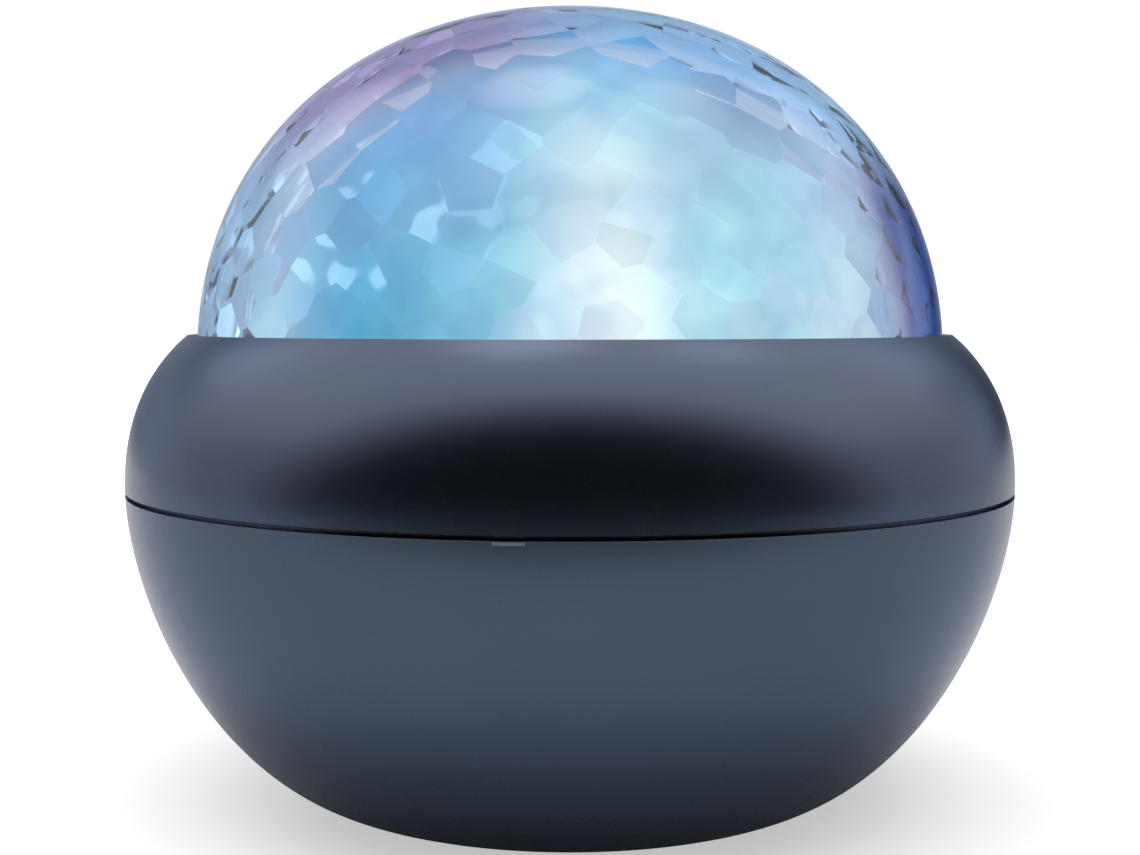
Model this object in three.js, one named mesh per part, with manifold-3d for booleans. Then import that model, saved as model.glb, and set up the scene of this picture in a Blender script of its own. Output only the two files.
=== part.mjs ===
// Crystal night light: a clear dome, faceted inside, that turns slowly on a round two-part body.
// Millimetres, +Z up. The origin is on the table under the middle of the body. The front faces -Y,
// and the charging socket and the two push buttons are at the back, +Y.
import * as THREE from "three";
import { ConvexGeometry } from "three/addons/geometries/ConvexGeometry.js";
import { mergeVertices } from "three/addons/utils/BufferGeometryUtils.js";
import Module from "manifold-3d";

const wasm = await Module();
wasm.setup();

// Clearances and overruns
const seat = 0.3; // between two pieces that rest on each other
const threadGap = 0.2; // round a screw or a shaft in its hole
const overrun = 1; // a cutting tool past the face that it cuts
const vertexMerge = 0.0001;

// Crystal dome
const domeRadius = 50.5;
const domeHeight = 47.7; // from the widest line up to the crown
const domeRoundness = 2.12; // 2 is an ellipse, more is squarer
const domeThickness = 3.2;
const domeSkirt = 3.5; // straight part below the widest line
const flangeThickness = 2;
const flangeGap = 0.8; // from the flange out to the shell that holds it down
const flangeDrop = 3; // below the inner edge of the shell's lip
const facetCount = 860; // on a whole ball, the dome has the upper half of them
const facetWanderShare = 0.22; // of a facet's width, how far a facet wanders

// Body: a rounded shoulder above a deep bowl
const lipGap = 0.5; // round the turning dome
const lipRound = 0.7;
const lipShares = [0.5, 1]; // of the rounding's quarter turn
const shoulderWidth = 9; // from the lip out to the widest line
const shoulderReach = 24; // of the curve, from the widest line in to where it would lie flat
const shoulderCrown = 25.2; // of the curve, from the widest line up to where it would lie flat
const shoulderRoundness = 2.2;
const bowlReach = 29.2; // from the widest line in to the flat underside
const bowlDepth = 42.7; // from the widest line down to the flat underside
const bowlRoundness = 1.72;
const wall = 2.2;
const seamDrop = 0.6; // seam below the widest line
const seamGap = 0.5;
const tongueWall = 0.9;
const tongueHeight = 1.8;
const tongueGap = 0.2;
const notchWidth = 3.6; // opening notch in the bowl's rim
const notchDepth = 0.5;
const notchPlace = 6.5; // left of the middle of the front

// Feet
const footStand = 0.8; // of a pad below the bowl
const footRadius = 5.2;
const footRecess = 1.2;
const footRound = 0.4;

// Turntable: the ring gear under the dome, its slide ring and the drive pinion
const ringHeight = 4.1;
const ringMargin = 1; // ring gear past the dome's outside
const gearBand = 8.3; // from the ring's outside in to its pitch circle
const ringTeeth = 72;
const pinionTeeth = 12;
const addendumShare = 0.85; // of the tooth module
const dedendumShare = 1.15; // of the tooth module
const backlash = 0.36; // along the pitch circle
const pressureDegrees = 20;
const slideThickness = 1;
const slideInnerMargin = 1.3; // from the gear's teeth out to the slide ring
const slideRim = 0.8;
const slideRimHeight = 2.2;
const pinionHubRadius = 3.4;
const pinionHubHeight = 1.2;
const shaftRadius = 1.5;

// Deck that carries the works
const deckThickness = 2;
const deckGap = 0.4;
const casePostRadius = 4;
const casePostDrop = 17.6; // of the deck's posts below its underside
const trayPostRadius = 2.6;
const trayPostRing = 31.5; // radius of the circle that the tray's posts stand on
const motorBossRadius = 2.2;
const motorBossHeight = 3;

// Screws: head radius, head height, thread radius and length under the head
const caseScrew = { head: 2.8, cap: 2, thread: 1.5, length: 14 };
const deckScrew = { head: 2, cap: 1.6, thread: 1.1, length: 5.4 };
const screwCrownShare = 0.35; // of the head's height
const smallScrew = { head: 1.7, cap: 1.2, thread: 0.9, length: 4 };
const domeScrew = { head: 1.4, cap: 0.9, thread: 0.7, length: 5.2 };
const screwSides = 8;
const diffuserSides = 32;
const diffuserSteps = 6;
const domeSteps = 12;

// Bowl's posts
const wellWall = 1.2;
const wellGap = 0.4; // round a screw's head
const postShelf = 3; // solid stretch between the well and the post's top
const boardPostRadius = 2.8;

// Gear motor
const gearboxRadius = 12;
const gearboxHeight = 9;
const motorRadius = 10;
const motorHeight = 14;
const motorRound = 1.2;
const motorEarReach = 15; // from the shaft to an ear's screw
const motorEarRadius = 2.8;
const motorEarThickness = 1.5;
const motorBearingRadius = 3.2;
const motorBearingHeight = 1.2;

// Lights
const ledBoardRadius = 15;
const boardThickness = 1.6;
const ledPitch = 4.5;
const ledWidth = 5;
const ledHeight = 1.5;
const ledLensRadius = 1.9;
const ledScrewRing = 11.5;
const trayThickness = 1.2;
const trayGap = 1.2; // inside the turning dome
const trayLift = 0.8; // above the ring gear
const cupMargin = 1.6; // cup round the light board
const cupDrop = 0.6; // cup's foot below the light board's top
const cupFlare = 4; // cup's mouth past its foot
const diffuserSideGap = 3.8; // from the diffuser out to the turning dome
const diffuserCrownGap = 2.7; // from the diffuser up to the dome
const diffuserRoundness = 2.1;
const diffuserWall = 1.4;
const diffuserFootHeight = 2;
const diffuserRib = 1;

// Control board, socket and buttons
const boardDrop = 13.3; // board's top below the seam
const boardDepth = 16;
const boardMargin = 1;
const boardScrewInset = 3.2;
const socketWidth = 9;
const socketHeight = 3.2;
const socketLength = 7.6;
const socketWall = 0.35;
const socketTongue = 0.7;
const socketSetback = 0.7; // mouth behind the bowl's inside
const socketOverhang = 1.8; // mouth past the board's edge
const plugOpeningWidth = 13;
const plugOpeningHeight = 7.5;
const buttonSpacing = 13.5; // of each button from the socket's middle
const buttonRadius = 3.4;
const buttonGap = 0.35;
const buttonProud = 0.9;
const buttonRound = 0.5;
const buttonFlange = 1; // past the cap
const buttonFlangeThickness = 1.2;
const buttonStemRadius = 1.5;
const buttonStemLength = 0.8;
const buttonTravel = 0.5;
const switchWidth = 6;
const switchDepth = 4.2;
const switchHeight = 3.4;
const plungerRadius = 1.2;
const plungerOut = 1.4;
const plungerIn = 0.8;
const chipWidth = 7;
const chipDepth = 5;
const chipHeight = 1.4;
const plugWidth = 5;
const plugDepth = 4;
const plugHeight = 4;
const plugPitch = 8;
const plugInset = 1.2; // from the board's front edge

// Battery and its cradle
const batteryLength = 42;
const batteryWidth = 20;
const batteryHeight = 9;
const batteryRound = 2.4;
const cradleGap = 0.4;
const cradleWall = 1.2;
const cradleHeight = 3.2;
const postGap = 0.9; // between the cradle and a post

// Leads inside the body
const leadRadius = 1;
const leadSides = 8;
const leadSteps = 18;
const leadRise = 3.4; // straight stretch out of a plug
const leadUnderDeck = 2.2; // middle of the lead below the deck
const leadBend = 6;
const leadHoleGap = 0.8; // round the lead in the deck

// How finely the round pieces are cut
const roundSides = 48;
const smallSides = 16;
const curveSteps = 8;

// Levels, from the table up
const bowlBottom = footStand;
const bowlFloor = bowlBottom + wall;
const widest = bowlBottom + bowlDepth;
const seamLevel = widest - seamDrop;
const bowlRim = seamLevel - seamGap / 2;
const shellEdge = seamLevel + seamGap / 2;
const lipRadius = domeRadius + lipGap;
const bodyRadius = lipRadius + shoulderWidth;
const shoulderForm = { reach: shoulderReach, rise: shoulderCrown, power: shoulderRoundness };
const bowlForm = { reach: bowlReach, rise: bowlDepth, power: bowlRoundness };

// Point on the body's skin, `inset` inside it. The turn runs from a quarter turn down at the foot,
// through zero at the widest line, to a quarter turn up at the crown of the shoulder's curve.
function skinPoint(turn, inset) {
  const form = turn < 0 ? bowlForm : shoulderForm;
  const out = Math.cos(turn) ** (2 / form.power);
  const up = Math.abs(Math.sin(turn)) ** (2 / form.power) * Math.sign(turn);
  const flat = bodyRadius - form.reach;
  return new THREE.Vector2(flat + (form.reach - inset) * out, widest + (form.rise - inset) * up);
}

function skinTurnAtLevel(level, inset) {
  const form = level < widest ? bowlForm : shoulderForm;
  const share = Math.min(1, Math.abs(level - widest) / (form.rise - inset));
  return Math.sign(level - widest) * Math.asin(share ** (form.power / 2));
}

function shoulderTurnAtRadius(radius, inset) {
  const share = (radius - bodyRadius + shoulderReach) / (shoulderReach - inset);
  return Math.acos(Math.min(1, share) ** (shoulderRoundness / 2));
}

function skinRadius(level, inset) {
  return skinPoint(skinTurnAtLevel(level, inset), inset).x;
}

function skinCurve(fromTurn, toTurn, inset, steps) {
  const points = [];
  for (let i = 0; i <= steps; i++) {
    points.push(skinPoint(fromTurn + ((toTurn - fromTurn) * i) / steps, inset));
  }
  return points;
}

// Levels that hang from the lip
const lipTurn = shoulderTurnAtRadius(lipRadius + lipRound, 0);
const lipLevel = skinPoint(lipTurn, 0).y;
const lipInsideTurn = shoulderTurnAtRadius(lipRadius, wall);
const lipInside = skinPoint(lipInsideTurn, wall).y;
const flangeTop = lipInside - flangeDrop;
const domeBottom = flangeTop - flangeThickness;
const domeWidest = domeBottom + domeSkirt;
const flangeRadius = skinRadius(flangeTop, wall) - flangeGap;
const ringTop = domeBottom - seat;
const ringBottom = ringTop - ringHeight;
const slideTop = ringBottom - seat;
const slideBottom = slideTop - slideThickness;
const deckTop = slideBottom - seat;
const deckBottom = deckTop - deckThickness;

// Radii of the turntable and of the bosses round it
const ringRadius = domeRadius + ringMargin;
const ringPitch = ringRadius - gearBand;
const gearModule = (2 * ringPitch) / ringTeeth;
const pinionPitch = (gearModule * pinionTeeth) / 2;
const driveCentre = ringPitch - pinionPitch;
const addendum = addendumShare * gearModule;
const dedendum = dedendumShare * gearModule;
const slideInner = ringPitch + dedendum + slideInnerMargin;
const slideOuter = ringRadius + seat + slideRim;
const deckRadius = Math.min(skinRadius(deckTop, wall), skinRadius(deckBottom, wall)) - deckGap;
const bossInner = slideOuter + seat;
const shellAtBoss = skinRadius(deckTop, wall);
const bossRadius = (shellAtBoss - bossInner) / 2;
const bossRing = bossInner + bossRadius;
const bossTop = domeBottom - flangeGap;

// Case posts stand clear of the battery, in a square
const casePost = batteryWidth / 2 + cradleGap + cradleWall + postGap + caseScrew.head + wellGap + wellWall;
const bowlPostRadius = caseScrew.head + wellGap + wellWall;
const casePostFoot = deckBottom - casePostDrop;
const bowlPostTop = casePostFoot - seat;
const wellTop = bowlPostTop - postShelf;
const corners = [
  [1, 1],
  [-1, 1],
  [-1, -1],
  [1, -1],
];

// Tray and lights
const ledBoardBottom = deckTop + seat;
const ledBoardTop = ledBoardBottom + boardThickness;
const trayBottom = ringTop + trayLift;
const trayTop = trayBottom + trayThickness;
const trayRadius = domeRadius - domeThickness - trayGap;
const cupRadius = ledBoardRadius + cupMargin;
const cupTopRadius = cupRadius + cupFlare;
const diffuserBottom = trayTop + seat;
const diffuserRadius = domeRadius - domeThickness - diffuserSideGap;
const diffuserTop = domeWidest + domeHeight - domeThickness - diffuserCrownGap;
const diffuserHeight = diffuserTop - diffuserBottom;

// Control board, behind the bowl's back wall
const boardTop = seamLevel - boardDrop;
const boardBottom = boardTop - boardThickness;
const panelLevel = boardTop + seat + socketHeight / 2;
const socketMouth = skinRadius(panelLevel, wall) - socketSetback;
const boardBack = socketMouth - socketOverhang;
const boardFront = boardBack - boardDepth;
const boardHalfWidth = buttonSpacing + switchWidth / 2 + boardMargin;
const boardRound = skinRadius(boardBottom, wall) - boardMargin;
const boardScrewY = boardFront + boardScrewInset;
const switchLevel = boardTop + seat + switchHeight / 2;
const flangeReach = buttonRadius + buttonFlange;
const wallLowAtFlange = skinRadius(panelLevel - flangeReach, wall);
const buttonFlangeFront = Math.sqrt(wallLowAtFlange ** 2 - (buttonSpacing + flangeReach) ** 2) - seat;
const buttonFlangeBack = buttonFlangeFront - buttonFlangeThickness;
const buttonStemEnd = buttonFlangeBack - buttonStemLength;
const buttonFace = Math.sqrt(skinRadius(panelLevel, 0) ** 2 - buttonSpacing ** 2) + buttonProud;
const plungerTip = buttonStemEnd - seat;
const switchFace = plungerTip - plungerOut;
const plugLevel = boardTop + seat + plugHeight;
const plugY = boardFront + plugInset + plugDepth / 2;

// Motor, hung under the deck
const gearboxTop = deckBottom - seat;
const gearboxBottom = gearboxTop - gearboxHeight;
const motorTop = gearboxBottom - seat;
const motorBottom = motorTop - motorHeight;

// Shapes as closed solids

function solid(geometry) {
  const bare = new THREE.BufferGeometry();
  bare.setAttribute("position", geometry.getAttribute("position"));
  bare.setIndex(geometry.getIndex());
  const merged = mergeVertices(bare, vertexMerge);
  const corner = merged.index.array;
  const faces = [];
  for (let i = 0; i < corner.length; i += 3) {
    const [a, b, c] = corner.slice(i, i + 3);
    if (a !== b && b !== c && c !== a) faces.push(a, b, c);
  }
  const vertProperties = merged.attributes.position.array;
  const made = new wasm.Manifold(
    new wasm.Mesh({ numProp: 3, vertProperties, triVerts: new Uint32Array(faces) }),
  );
  if (made.volume() > 0) return made;
  faces.reverse();
  return new wasm.Manifold(
    new wasm.Mesh({ numProp: 3, vertProperties, triVerts: new Uint32Array(faces) }),
  );
}

function geometryOf(made) {
  const mesh = made.getMesh();
  const flat = new THREE.BufferGeometry();
  flat.setAttribute("position", new THREE.BufferAttribute(mesh.vertProperties, 3));
  flat.setIndex(new THREE.BufferAttribute(mesh.triVerts, 1));
  const faceted = flat.toNonIndexed();
  faceted.computeVertexNormals();
  return faceted;
}

const joined = (first, ...rest) => rest.reduce((all, next) => all.add(next), first);
const cut = (body, ...tools) => tools.reduce((left, tool) => left.subtract(tool), body);
const at = (radius, level) => new THREE.Vector2(radius, level);

// A profile of (radius, level) points turned round the upright axis.
function turned(points, sides = roundSides) {
  const closed = points[0].x === 0 && points.at(-1).x === 0 ? points : [...points, points[0].clone()];
  return solid(new THREE.LatheGeometry(closed, sides).rotateX(Math.PI / 2));
}

// The same round an axis along Y through (x, z), for what faces the back.
function turnedAlongY(points, x, z, sides = smallSides) {
  return solid(new THREE.LatheGeometry(points, sides).translate(x, 0, z));
}

function rod(radius, low, high, x = 0, y = 0, sides = smallSides) {
  const shape = new THREE.CylinderGeometry(radius, radius, high - low, sides);
  return solid(shape.rotateX(Math.PI / 2).translate(x, y, (low + high) / 2));
}

function rodAlongY(radius, low, high, x, z, sides = smallSides) {
  const shape = new THREE.CylinderGeometry(radius, radius, high - low, sides);
  return solid(shape.translate(x, (low + high) / 2, z));
}

function block(low, high) {
  const size = high.map((end, axis) => end - low[axis]);
  const middle = high.map((end, axis) => (end + low[axis]) / 2);
  return solid(new THREE.BoxGeometry(...size).translate(...middle));
}

// A round-ended slot, `width` by `height`, cut along Y.
function slotAlongY(width, height, low, high, x, z) {
  const half = width / 2 - height / 2;
  const outline = new THREE.Shape();
  outline.absarc(half, 0, height / 2, -Math.PI / 2, Math.PI / 2);
  outline.absarc(-half, 0, height / 2, Math.PI / 2, (3 * Math.PI) / 2);
  const shape = new THREE.ExtrudeGeometry(outline, {
    depth: high - low,
    bevelEnabled: false,
    curveSegments: smallSides / 4,
  });
  return solid(shape.rotateX(-Math.PI / 2).translate(x, low, z));
}

function plate(outline, low, high) {
  const shape = new THREE.ExtrudeGeometry(outline, { depth: high - low, bevelEnabled: false });
  return solid(shape.translate(0, 0, low));
}

// Finishes

const finish = (color, roughness, metalness = 0) => ({ color, roughness, metalness });
const finishes = {
  shellPlastic: finish(0x3f4a5c, 0.45),
  crystal: finish(0xa9d4f0, 0.05),
  milkyPlastic: finish(0xe6f2fa, 0.5),
  whitePlastic: finish(0xeeeeec, 0.45),
  darkPlastic: finish(0x22262c, 0.5),
  greyPlastic: finish(0x8b9097, 0.5),
  slidePlastic: finish(0xe9e6da, 0.35),
  rubber: finish(0x24272b, 0.9),
  steel: finish(0xb4b8bc, 0.3, 1),
  boardGreen: finish(0x1f5a3c, 0.5),
  boardWhite: finish(0xf1f2ef, 0.5),
  battery: finish(0x5c84b5, 0.4),
  lead: finish(0xc8ccd2, 0.6),
  redLight: finish(0xe25a5a, 0.2),
  greenLight: finish(0x66d08a, 0.2),
  blueLight: finish(0x5f8cf0, 0.2),
  whiteLight: finish(0xf6f3df, 0.2),
};

function piece(name, look, made, place = [0, 0, 0], turn = [0, 0, 0]) {
  const mesh = new THREE.Mesh(geometryOf(made), new THREE.MeshStandardMaterial(finishes[look]));
  mesh.name = name;
  mesh.position.set(...place);
  mesh.rotation.set(...turn);
  return mesh;
}

const upsideDown = [Math.PI, 0, 0];

// Screw with its head's underside at the origin and its thread pointing up.
function screwSolid({ head, cap, thread, length }) {
  const crown = cap * screwCrownShare;
  const points = [at(0, -cap), at(head - crown, -cap), at(head, crown - cap), at(head, 0)];
  points.push(at(thread, 0), at(thread, length - thread), at(thread / 2, length), at(0, length));
  return turned(points, screwSides);
}

// Pilot hole for a screw whose head sits at `level` and whose thread points up.
function pilot(screw, level, x, y) {
  const top = level + screw.length + threadGap;
  return rod(screw.thread + threadGap, level - overrun, top, x, y, screwSides);
}

// The same for a small screw whose thread points down.
function downwardPilot(level, x, y) {
  const end = level - smallScrew.length - threadGap;
  return rod(smallScrew.thread + threadGap, end, level + overrun, x, y, screwSides);
}

// Facets: a ball's tangent planes at evenly spread points, each moved a little, meet in flat
// many-sided faces. The corners of those faces are the planes' common points, three by three.
function facetedBall() {
  const golden = Math.PI * (3 - Math.sqrt(5));
  const spacing = Math.sqrt((4 * Math.PI) / facetCount);
  const wander = (i, k) => facetWanderShare * spacing * Math.sin(i * (i + k));
  const points = [];
  for (let i = 0; i < facetCount; i++) {
    const z = 1 - (2 * i + 1) / facetCount;
    const ring = Math.sqrt(1 - z * z);
    const point = new THREE.Vector3(ring * Math.cos(golden * i), ring * Math.sin(golden * i), z);
    point.add(new THREE.Vector3(wander(i, 1), wander(i, 2), wander(i, 3)));
    points.push(point.normalize());
  }
  const hull = new ConvexGeometry(points).getAttribute("position");
  const triangle = new THREE.Triangle();
  const meetings = [];
  for (let i = 0; i < hull.count; i += 3) {
    triangle.setFromAttributeAndIndices(hull, i, i + 1, i + 2);
    const normal = triangle.getNormal(new THREE.Vector3());
    meetings.push(normal.divideScalar(normal.dot(triangle.a)));
  }
  return new ConvexGeometry(meetings);
}

// The crystal dome turns. Its flange stays under the shell's lip.
function crystalDome() {
  const outline = [at(0, domeBottom), at(flangeRadius, domeBottom), at(flangeRadius, flangeTop)];
  outline.push(at(domeRadius, flangeTop), at(domeRadius, domeWidest));
  for (let i = 1; i <= domeSteps; i++) {
    const turn = ((Math.PI / 2) * i) / domeSteps;
    const radius = domeRadius * Math.cos(turn) ** (2 / domeRoundness);
    const level = domeWidest + domeHeight * Math.sin(turn) ** (2 / domeRoundness);
    outline.push(at(i === domeSteps ? 0 : radius, level));
  }
  const insideRadius = domeRadius - domeThickness;
  const inside = facetedBall();
  inside.scale(insideRadius, insideRadius, domeHeight - domeThickness);
  inside.translate(0, 0, domeWidest);
  const throat = rod(insideRadius, domeBottom - overrun, domeWidest, 0, 0, roundSides);
  const holes = domeScrewPlaces().map(([x, y]) => pilot(domeScrew, domeScrewSeat, x, y));
  return piece("crystal_dome", "crystal", cut(turned(outline), solid(inside), throat, ...holes));
}

const domeScrewSeat = ringBottom + domeScrew.cap + 2 * seat;

function domeScrewPlaces() {
  const ring = domeRadius - domeThickness / 2;
  const turns = [0, 1, 2].map((i) => ((2 * i + 1) * Math.PI) / 3);
  return turns.map((turn) => [ring * Math.cos(turn), ring * Math.sin(turn)]);
}

// Outline of a toothed wheel with involute flanks. `half` is half a tooth's angle at the pitch circle.
function toothedOutline(teeth, pitch, root, tip, half, flankPoints) {
  const pressure = (pressureDegrees * Math.PI) / 180;
  const base = pitch * Math.cos(pressure);
  const involute = (angle) => Math.tan(angle) - angle;
  const halfAt = (radius) => {
    const angle = radius > base ? Math.acos(base / radius) : 0;
    return half + involute(pressure) - involute(angle);
  };
  const radii = [];
  for (let i = 0; i <= flankPoints; i++) radii.push(root + ((tip - root) * i) / flankPoints);
  const outline = [];
  for (let tooth = 0; tooth < teeth; tooth++) {
    const middle = (2 * Math.PI * tooth) / teeth;
    for (const r of radii) outline.push([r, middle - halfAt(r)]);
    for (const r of [...radii].reverse()) outline.push([r, middle + halfAt(r)]);
  }
  return new THREE.Shape(outline.map(([r, a]) => at(r * Math.cos(a), r * Math.sin(a))));
}

// Ring gear under the dome: teeth on its inside, the screws' heads sunk in its underside.
function ringGear() {
  const half = Math.PI / (2 * ringTeeth) + backlash / (4 * ringPitch);
  const root = ringPitch - addendum;
  const spaces = toothedOutline(ringTeeth, ringPitch, root, ringPitch + dedendum, half, 1);
  const rim = rod(ringRadius, ringBottom, ringTop, 0, 0, roundSides);
  const sinks = domeScrewPlaces().map(([x, y]) =>
    rod(domeScrew.head + threadGap, ringBottom - overrun, domeScrewSeat + seat, x, y, screwSides),
  );
  const holes = domeScrewPlaces().map(([x, y]) => pilot(domeScrew, domeScrewSeat, x, y));
  const teeth = plate(spaces, ringBottom - overrun, ringTop + overrun);
  return piece("ring_gear", "whitePlastic", cut(rim, teeth, ...sinks, ...holes));
}

function domeScrews() {
  return domeScrewPlaces().map(([x, y], i) =>
    piece(`dome_screw_${i + 1}`, "steel", screwSolid(domeScrew), [x, y, domeScrewSeat]),
  );
}

// Low-friction ring that the ring gear slides on. Its rim keeps the turntable centred.
function slideRing() {
  const floor = [at(slideInner, slideBottom), at(slideOuter, slideBottom)];
  const rimTop = slideTop + slideRimHeight;
  const rim = [at(slideOuter, rimTop), at(slideOuter - slideRim, rimTop)];
  const inside = [at(slideOuter - slideRim, slideTop), at(slideInner, slideTop)];
  return piece("slide_ring", "slidePlastic", turned([...floor, ...rim, ...inside]));
}

// Drive pinion and motor shaft, drawn round the shaft's own axis.
const pinionBottom = ringBottom;
const shaftFoot = gearboxTop - gearboxHeight / 2;

function drivePinion() {
  const half = Math.PI / (2 * pinionTeeth) - backlash / (4 * pinionPitch);
  const root = pinionPitch - dedendum;
  const outline = toothedOutline(pinionTeeth, pinionPitch, root, pinionPitch + addendum, half, 4);
  const teeth = plate(outline, pinionBottom, ringTop);
  const hub = rod(pinionHubRadius, pinionBottom - pinionHubHeight, pinionBottom + seat);
  const bore = rod(shaftRadius + threadGap, pinionBottom - pinionHubHeight - overrun, ringTop + overrun);
  return piece("drive_pinion", "whitePlastic", cut(joined(teeth, hub), bore));
}

function motorShaft() {
  return piece("motor_shaft", "steel", rod(shaftRadius, shaftFoot, ringTop));
}

// Upper shell: the round shoulder, with the lip that keeps the dome in and four bosses for the deck.
function bossPlaces() {
  return [0, 1, 2, 3].map((i) => ((2 * i + 1) * Math.PI) / 4).map((turn) => [
    bossRing * Math.cos(turn),
    bossRing * Math.sin(turn),
  ]);
}

function upperShell() {
  const rebate = tongueRadius + tongueGap;
  const rebateTop = tongueTop + seat;
  const outside = skinCurve(skinTurnAtLevel(shellEdge, 0), lipTurn, 0, curveSteps + 2);
  const lip = [];
  for (const share of lipShares) {
    const turn = (share * Math.PI) / 2;
    const drop = lipRound * (1 - Math.cos(turn));
    lip.push(at(lipRadius + lipRound * (1 - Math.sin(turn)), lipLevel - drop));
  }
  const inside = skinCurve(lipInsideTurn, skinTurnAtLevel(rebateTop, wall), wall, curveSteps - 2);
  const step = [at(rebate, rebateTop), at(rebate, shellEdge)];
  const shell = turned([...outside, ...lip, ...inside, ...step]);
  const filled = turned([at(0, shellEdge), ...outside, at(0, lipLevel)]);
  const bosses = bossPlaces().map(([x, y]) => rod(bossRadius, deckTop + seat, bossTop, x, y));
  const webs = bossPlaces().map(([x, y]) => {
    const reach = (bossRing + bossRadius) / bossRing;
    return rod(bossRadius, deckTop + seat, bossTop, x * reach, y * reach);
  });
  const full = joined(shell, ...bosses, ...webs).intersect(filled);
  const holes = bossPlaces().map(([x, y]) => pilot(deckScrew, deckBottom, x, y));
  return piece("upper_shell", "shellPlastic", cut(full, ...holes));
}

// Deck: carries the slide ring, the light board, the tray and the motor, and takes the case screws.
const trayPostPlaces = [1, 3, 5].map((i) => [
  trayPostRing * Math.cos((i * Math.PI) / 3),
  trayPostRing * Math.sin((i * Math.PI) / 3),
]);
const trayPostTop = trayBottom - seat;
const ledLeadY = ledBoardRadius - 3 * leadRadius;

function deck() {
  const disc = rod(deckRadius, deckBottom, deckTop, 0, 0, roundSides);
  const down = corners.map(([x, y]) =>
    rod(casePostRadius, casePostFoot, deckBottom + seat, x * casePost, y * casePost),
  );
  const up = trayPostPlaces.map(([x, y]) => rod(trayPostRadius, deckTop - seat, trayPostTop, x, y));
  const bosses = motorScrewPlaces.map(([x, y]) =>
    rod(motorBossRadius, deckTop - seat, deckTop + motorBossHeight, x, y),
  );
  const holes = [
    ...bossPlaces().map(([x, y]) => pilot(deckScrew, deckBottom, x, y)),
    ...corners.map(([x, y]) => pilot(caseScrew, wellTop, x * casePost, y * casePost)),
    ...trayPostPlaces.map(([x, y]) => downwardPilot(trayTop, x, y)),
    ...motorScrewPlaces.map(([x, y]) => pilot(smallScrew, motorScrewSeat, x, y)),
    ...ledScrewPlaces.map(([x, y]) => downwardPilot(ledBoardTop, x, y)),
    rod(motorBearingRadius + seat, deckBottom - overrun, deckTop + overrun, driveCentre, 0),
    rod(leadRadius + leadHoleGap, deckBottom - overrun, deckTop + overrun, 0, ledLeadY),
  ];
  return piece("deck", "darkPlastic", cut(joined(disc, ...down, ...up, ...bosses), ...holes));
}

function deckScrews() {
  return bossPlaces().map(([x, y], i) =>
    piece(`deck_screw_${i + 1}`, "steel", screwSolid(deckScrew), [x, y, deckBottom - seat]),
  );
}

// Lower bowl: posts for the case screws and the control board, a cradle for the battery, the plug
// opening, two button holes, recesses for the feet and a notch in the rim for opening the case.
const tongueInside = skinRadius(bowlRim, wall);
const tongueRadius = tongueInside + tongueWall;
const tongueTop = bowlRim + tongueHeight;
const boardPosts = [
  [buttonSpacing, boardScrewY],
  [-buttonSpacing, boardScrewY],
];

function lowerBowl() {
  const foot = -Math.PI / 2;
  const outside = skinCurve(foot, skinTurnAtLevel(bowlRim, 0), 0, curveSteps + 3);
  const tongue = [at(tongueRadius, bowlRim), at(tongueRadius, tongueTop), at(tongueInside, tongueTop)];
  const inside = skinCurve(skinTurnAtLevel(bowlRim, wall), foot, wall, curveSteps);
  const shell = turned([at(0, bowlBottom), ...outside, ...tongue, ...inside, at(0, bowlFloor)]);
  const filled = turned([at(0, bowlBottom), ...outside, at(0, bowlRim)]);
  const posts = joined(
    ...corners.map(([x, y]) => rod(bowlPostRadius, bowlBottom, bowlPostTop, x * casePost, y * casePost)),
    ...boardPosts.map(([x, y]) => rod(boardPostRadius, bowlBottom, boardBottom - seat, x, y)),
  );
  const body = joined(shell, posts.intersect(filled));
  const opened = cut(body, ...footHoles(), ...boardPostHoles(), ...wallOpenings(), openingNotch());
  return piece("lower_bowl", "shellPlastic", joined(opened, ...cradle()));
}

function footHoles() {
  const low = bowlBottom - overrun;
  return corners.flatMap(([x, y]) => [
    rod(footRadius + seat, low, bowlBottom + footRecess, x * casePost, y * casePost),
    rod(caseScrew.head + wellGap, low, wellTop, x * casePost, y * casePost),
    pilot(caseScrew, wellTop, x * casePost, y * casePost),
  ]);
}

function boardPostHoles() {
  return boardPosts.map(([x, y]) => downwardPilot(boardTop, x, y));
}

// The tools for the back wall stop short of the board's posts.
function wallOpenings() {
  const postBack = boardScrewY + boardPostRadius;
  const past = bodyRadius + overrun;
  return [
    slotAlongY(plugOpeningWidth, plugOpeningHeight, postBack, past, 0, panelLevel),
    ...[1, -1].map((side) =>
      rodAlongY(buttonRadius + buttonGap, postBack, past, side * buttonSpacing, panelLevel),
    ),
  ];
}

function openingNotch() {
  const left = -notchPlace - notchWidth / 2;
  return block(
    [left, -bodyRadius - overrun, bowlRim - notchDepth],
    [left + notchWidth, -tongueRadius - tongueGap, bowlRim + overrun],
  );
}

function cradle() {
  const halfLength = batteryLength / 2 + cradleGap;
  const halfWidth = batteryWidth / 2 + cradleGap;
  const top = bowlFloor + cradleHeight;
  const low = bowlFloor - seat;
  return [1, -1].flatMap((side) => {
    const ends = [side * halfLength, side * (halfLength + cradleWall)].sort((a, b) => a - b);
    const sides = [side * halfWidth, side * (halfWidth + cradleWall)].sort((a, b) => a - b);
    return [
      block([ends[0], -halfWidth / 2, low], [ends[1], halfWidth / 2, top]),
      block([-halfLength / 2, sides[0], low], [halfLength / 2, sides[1], top]),
    ];
  });
}

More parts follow.
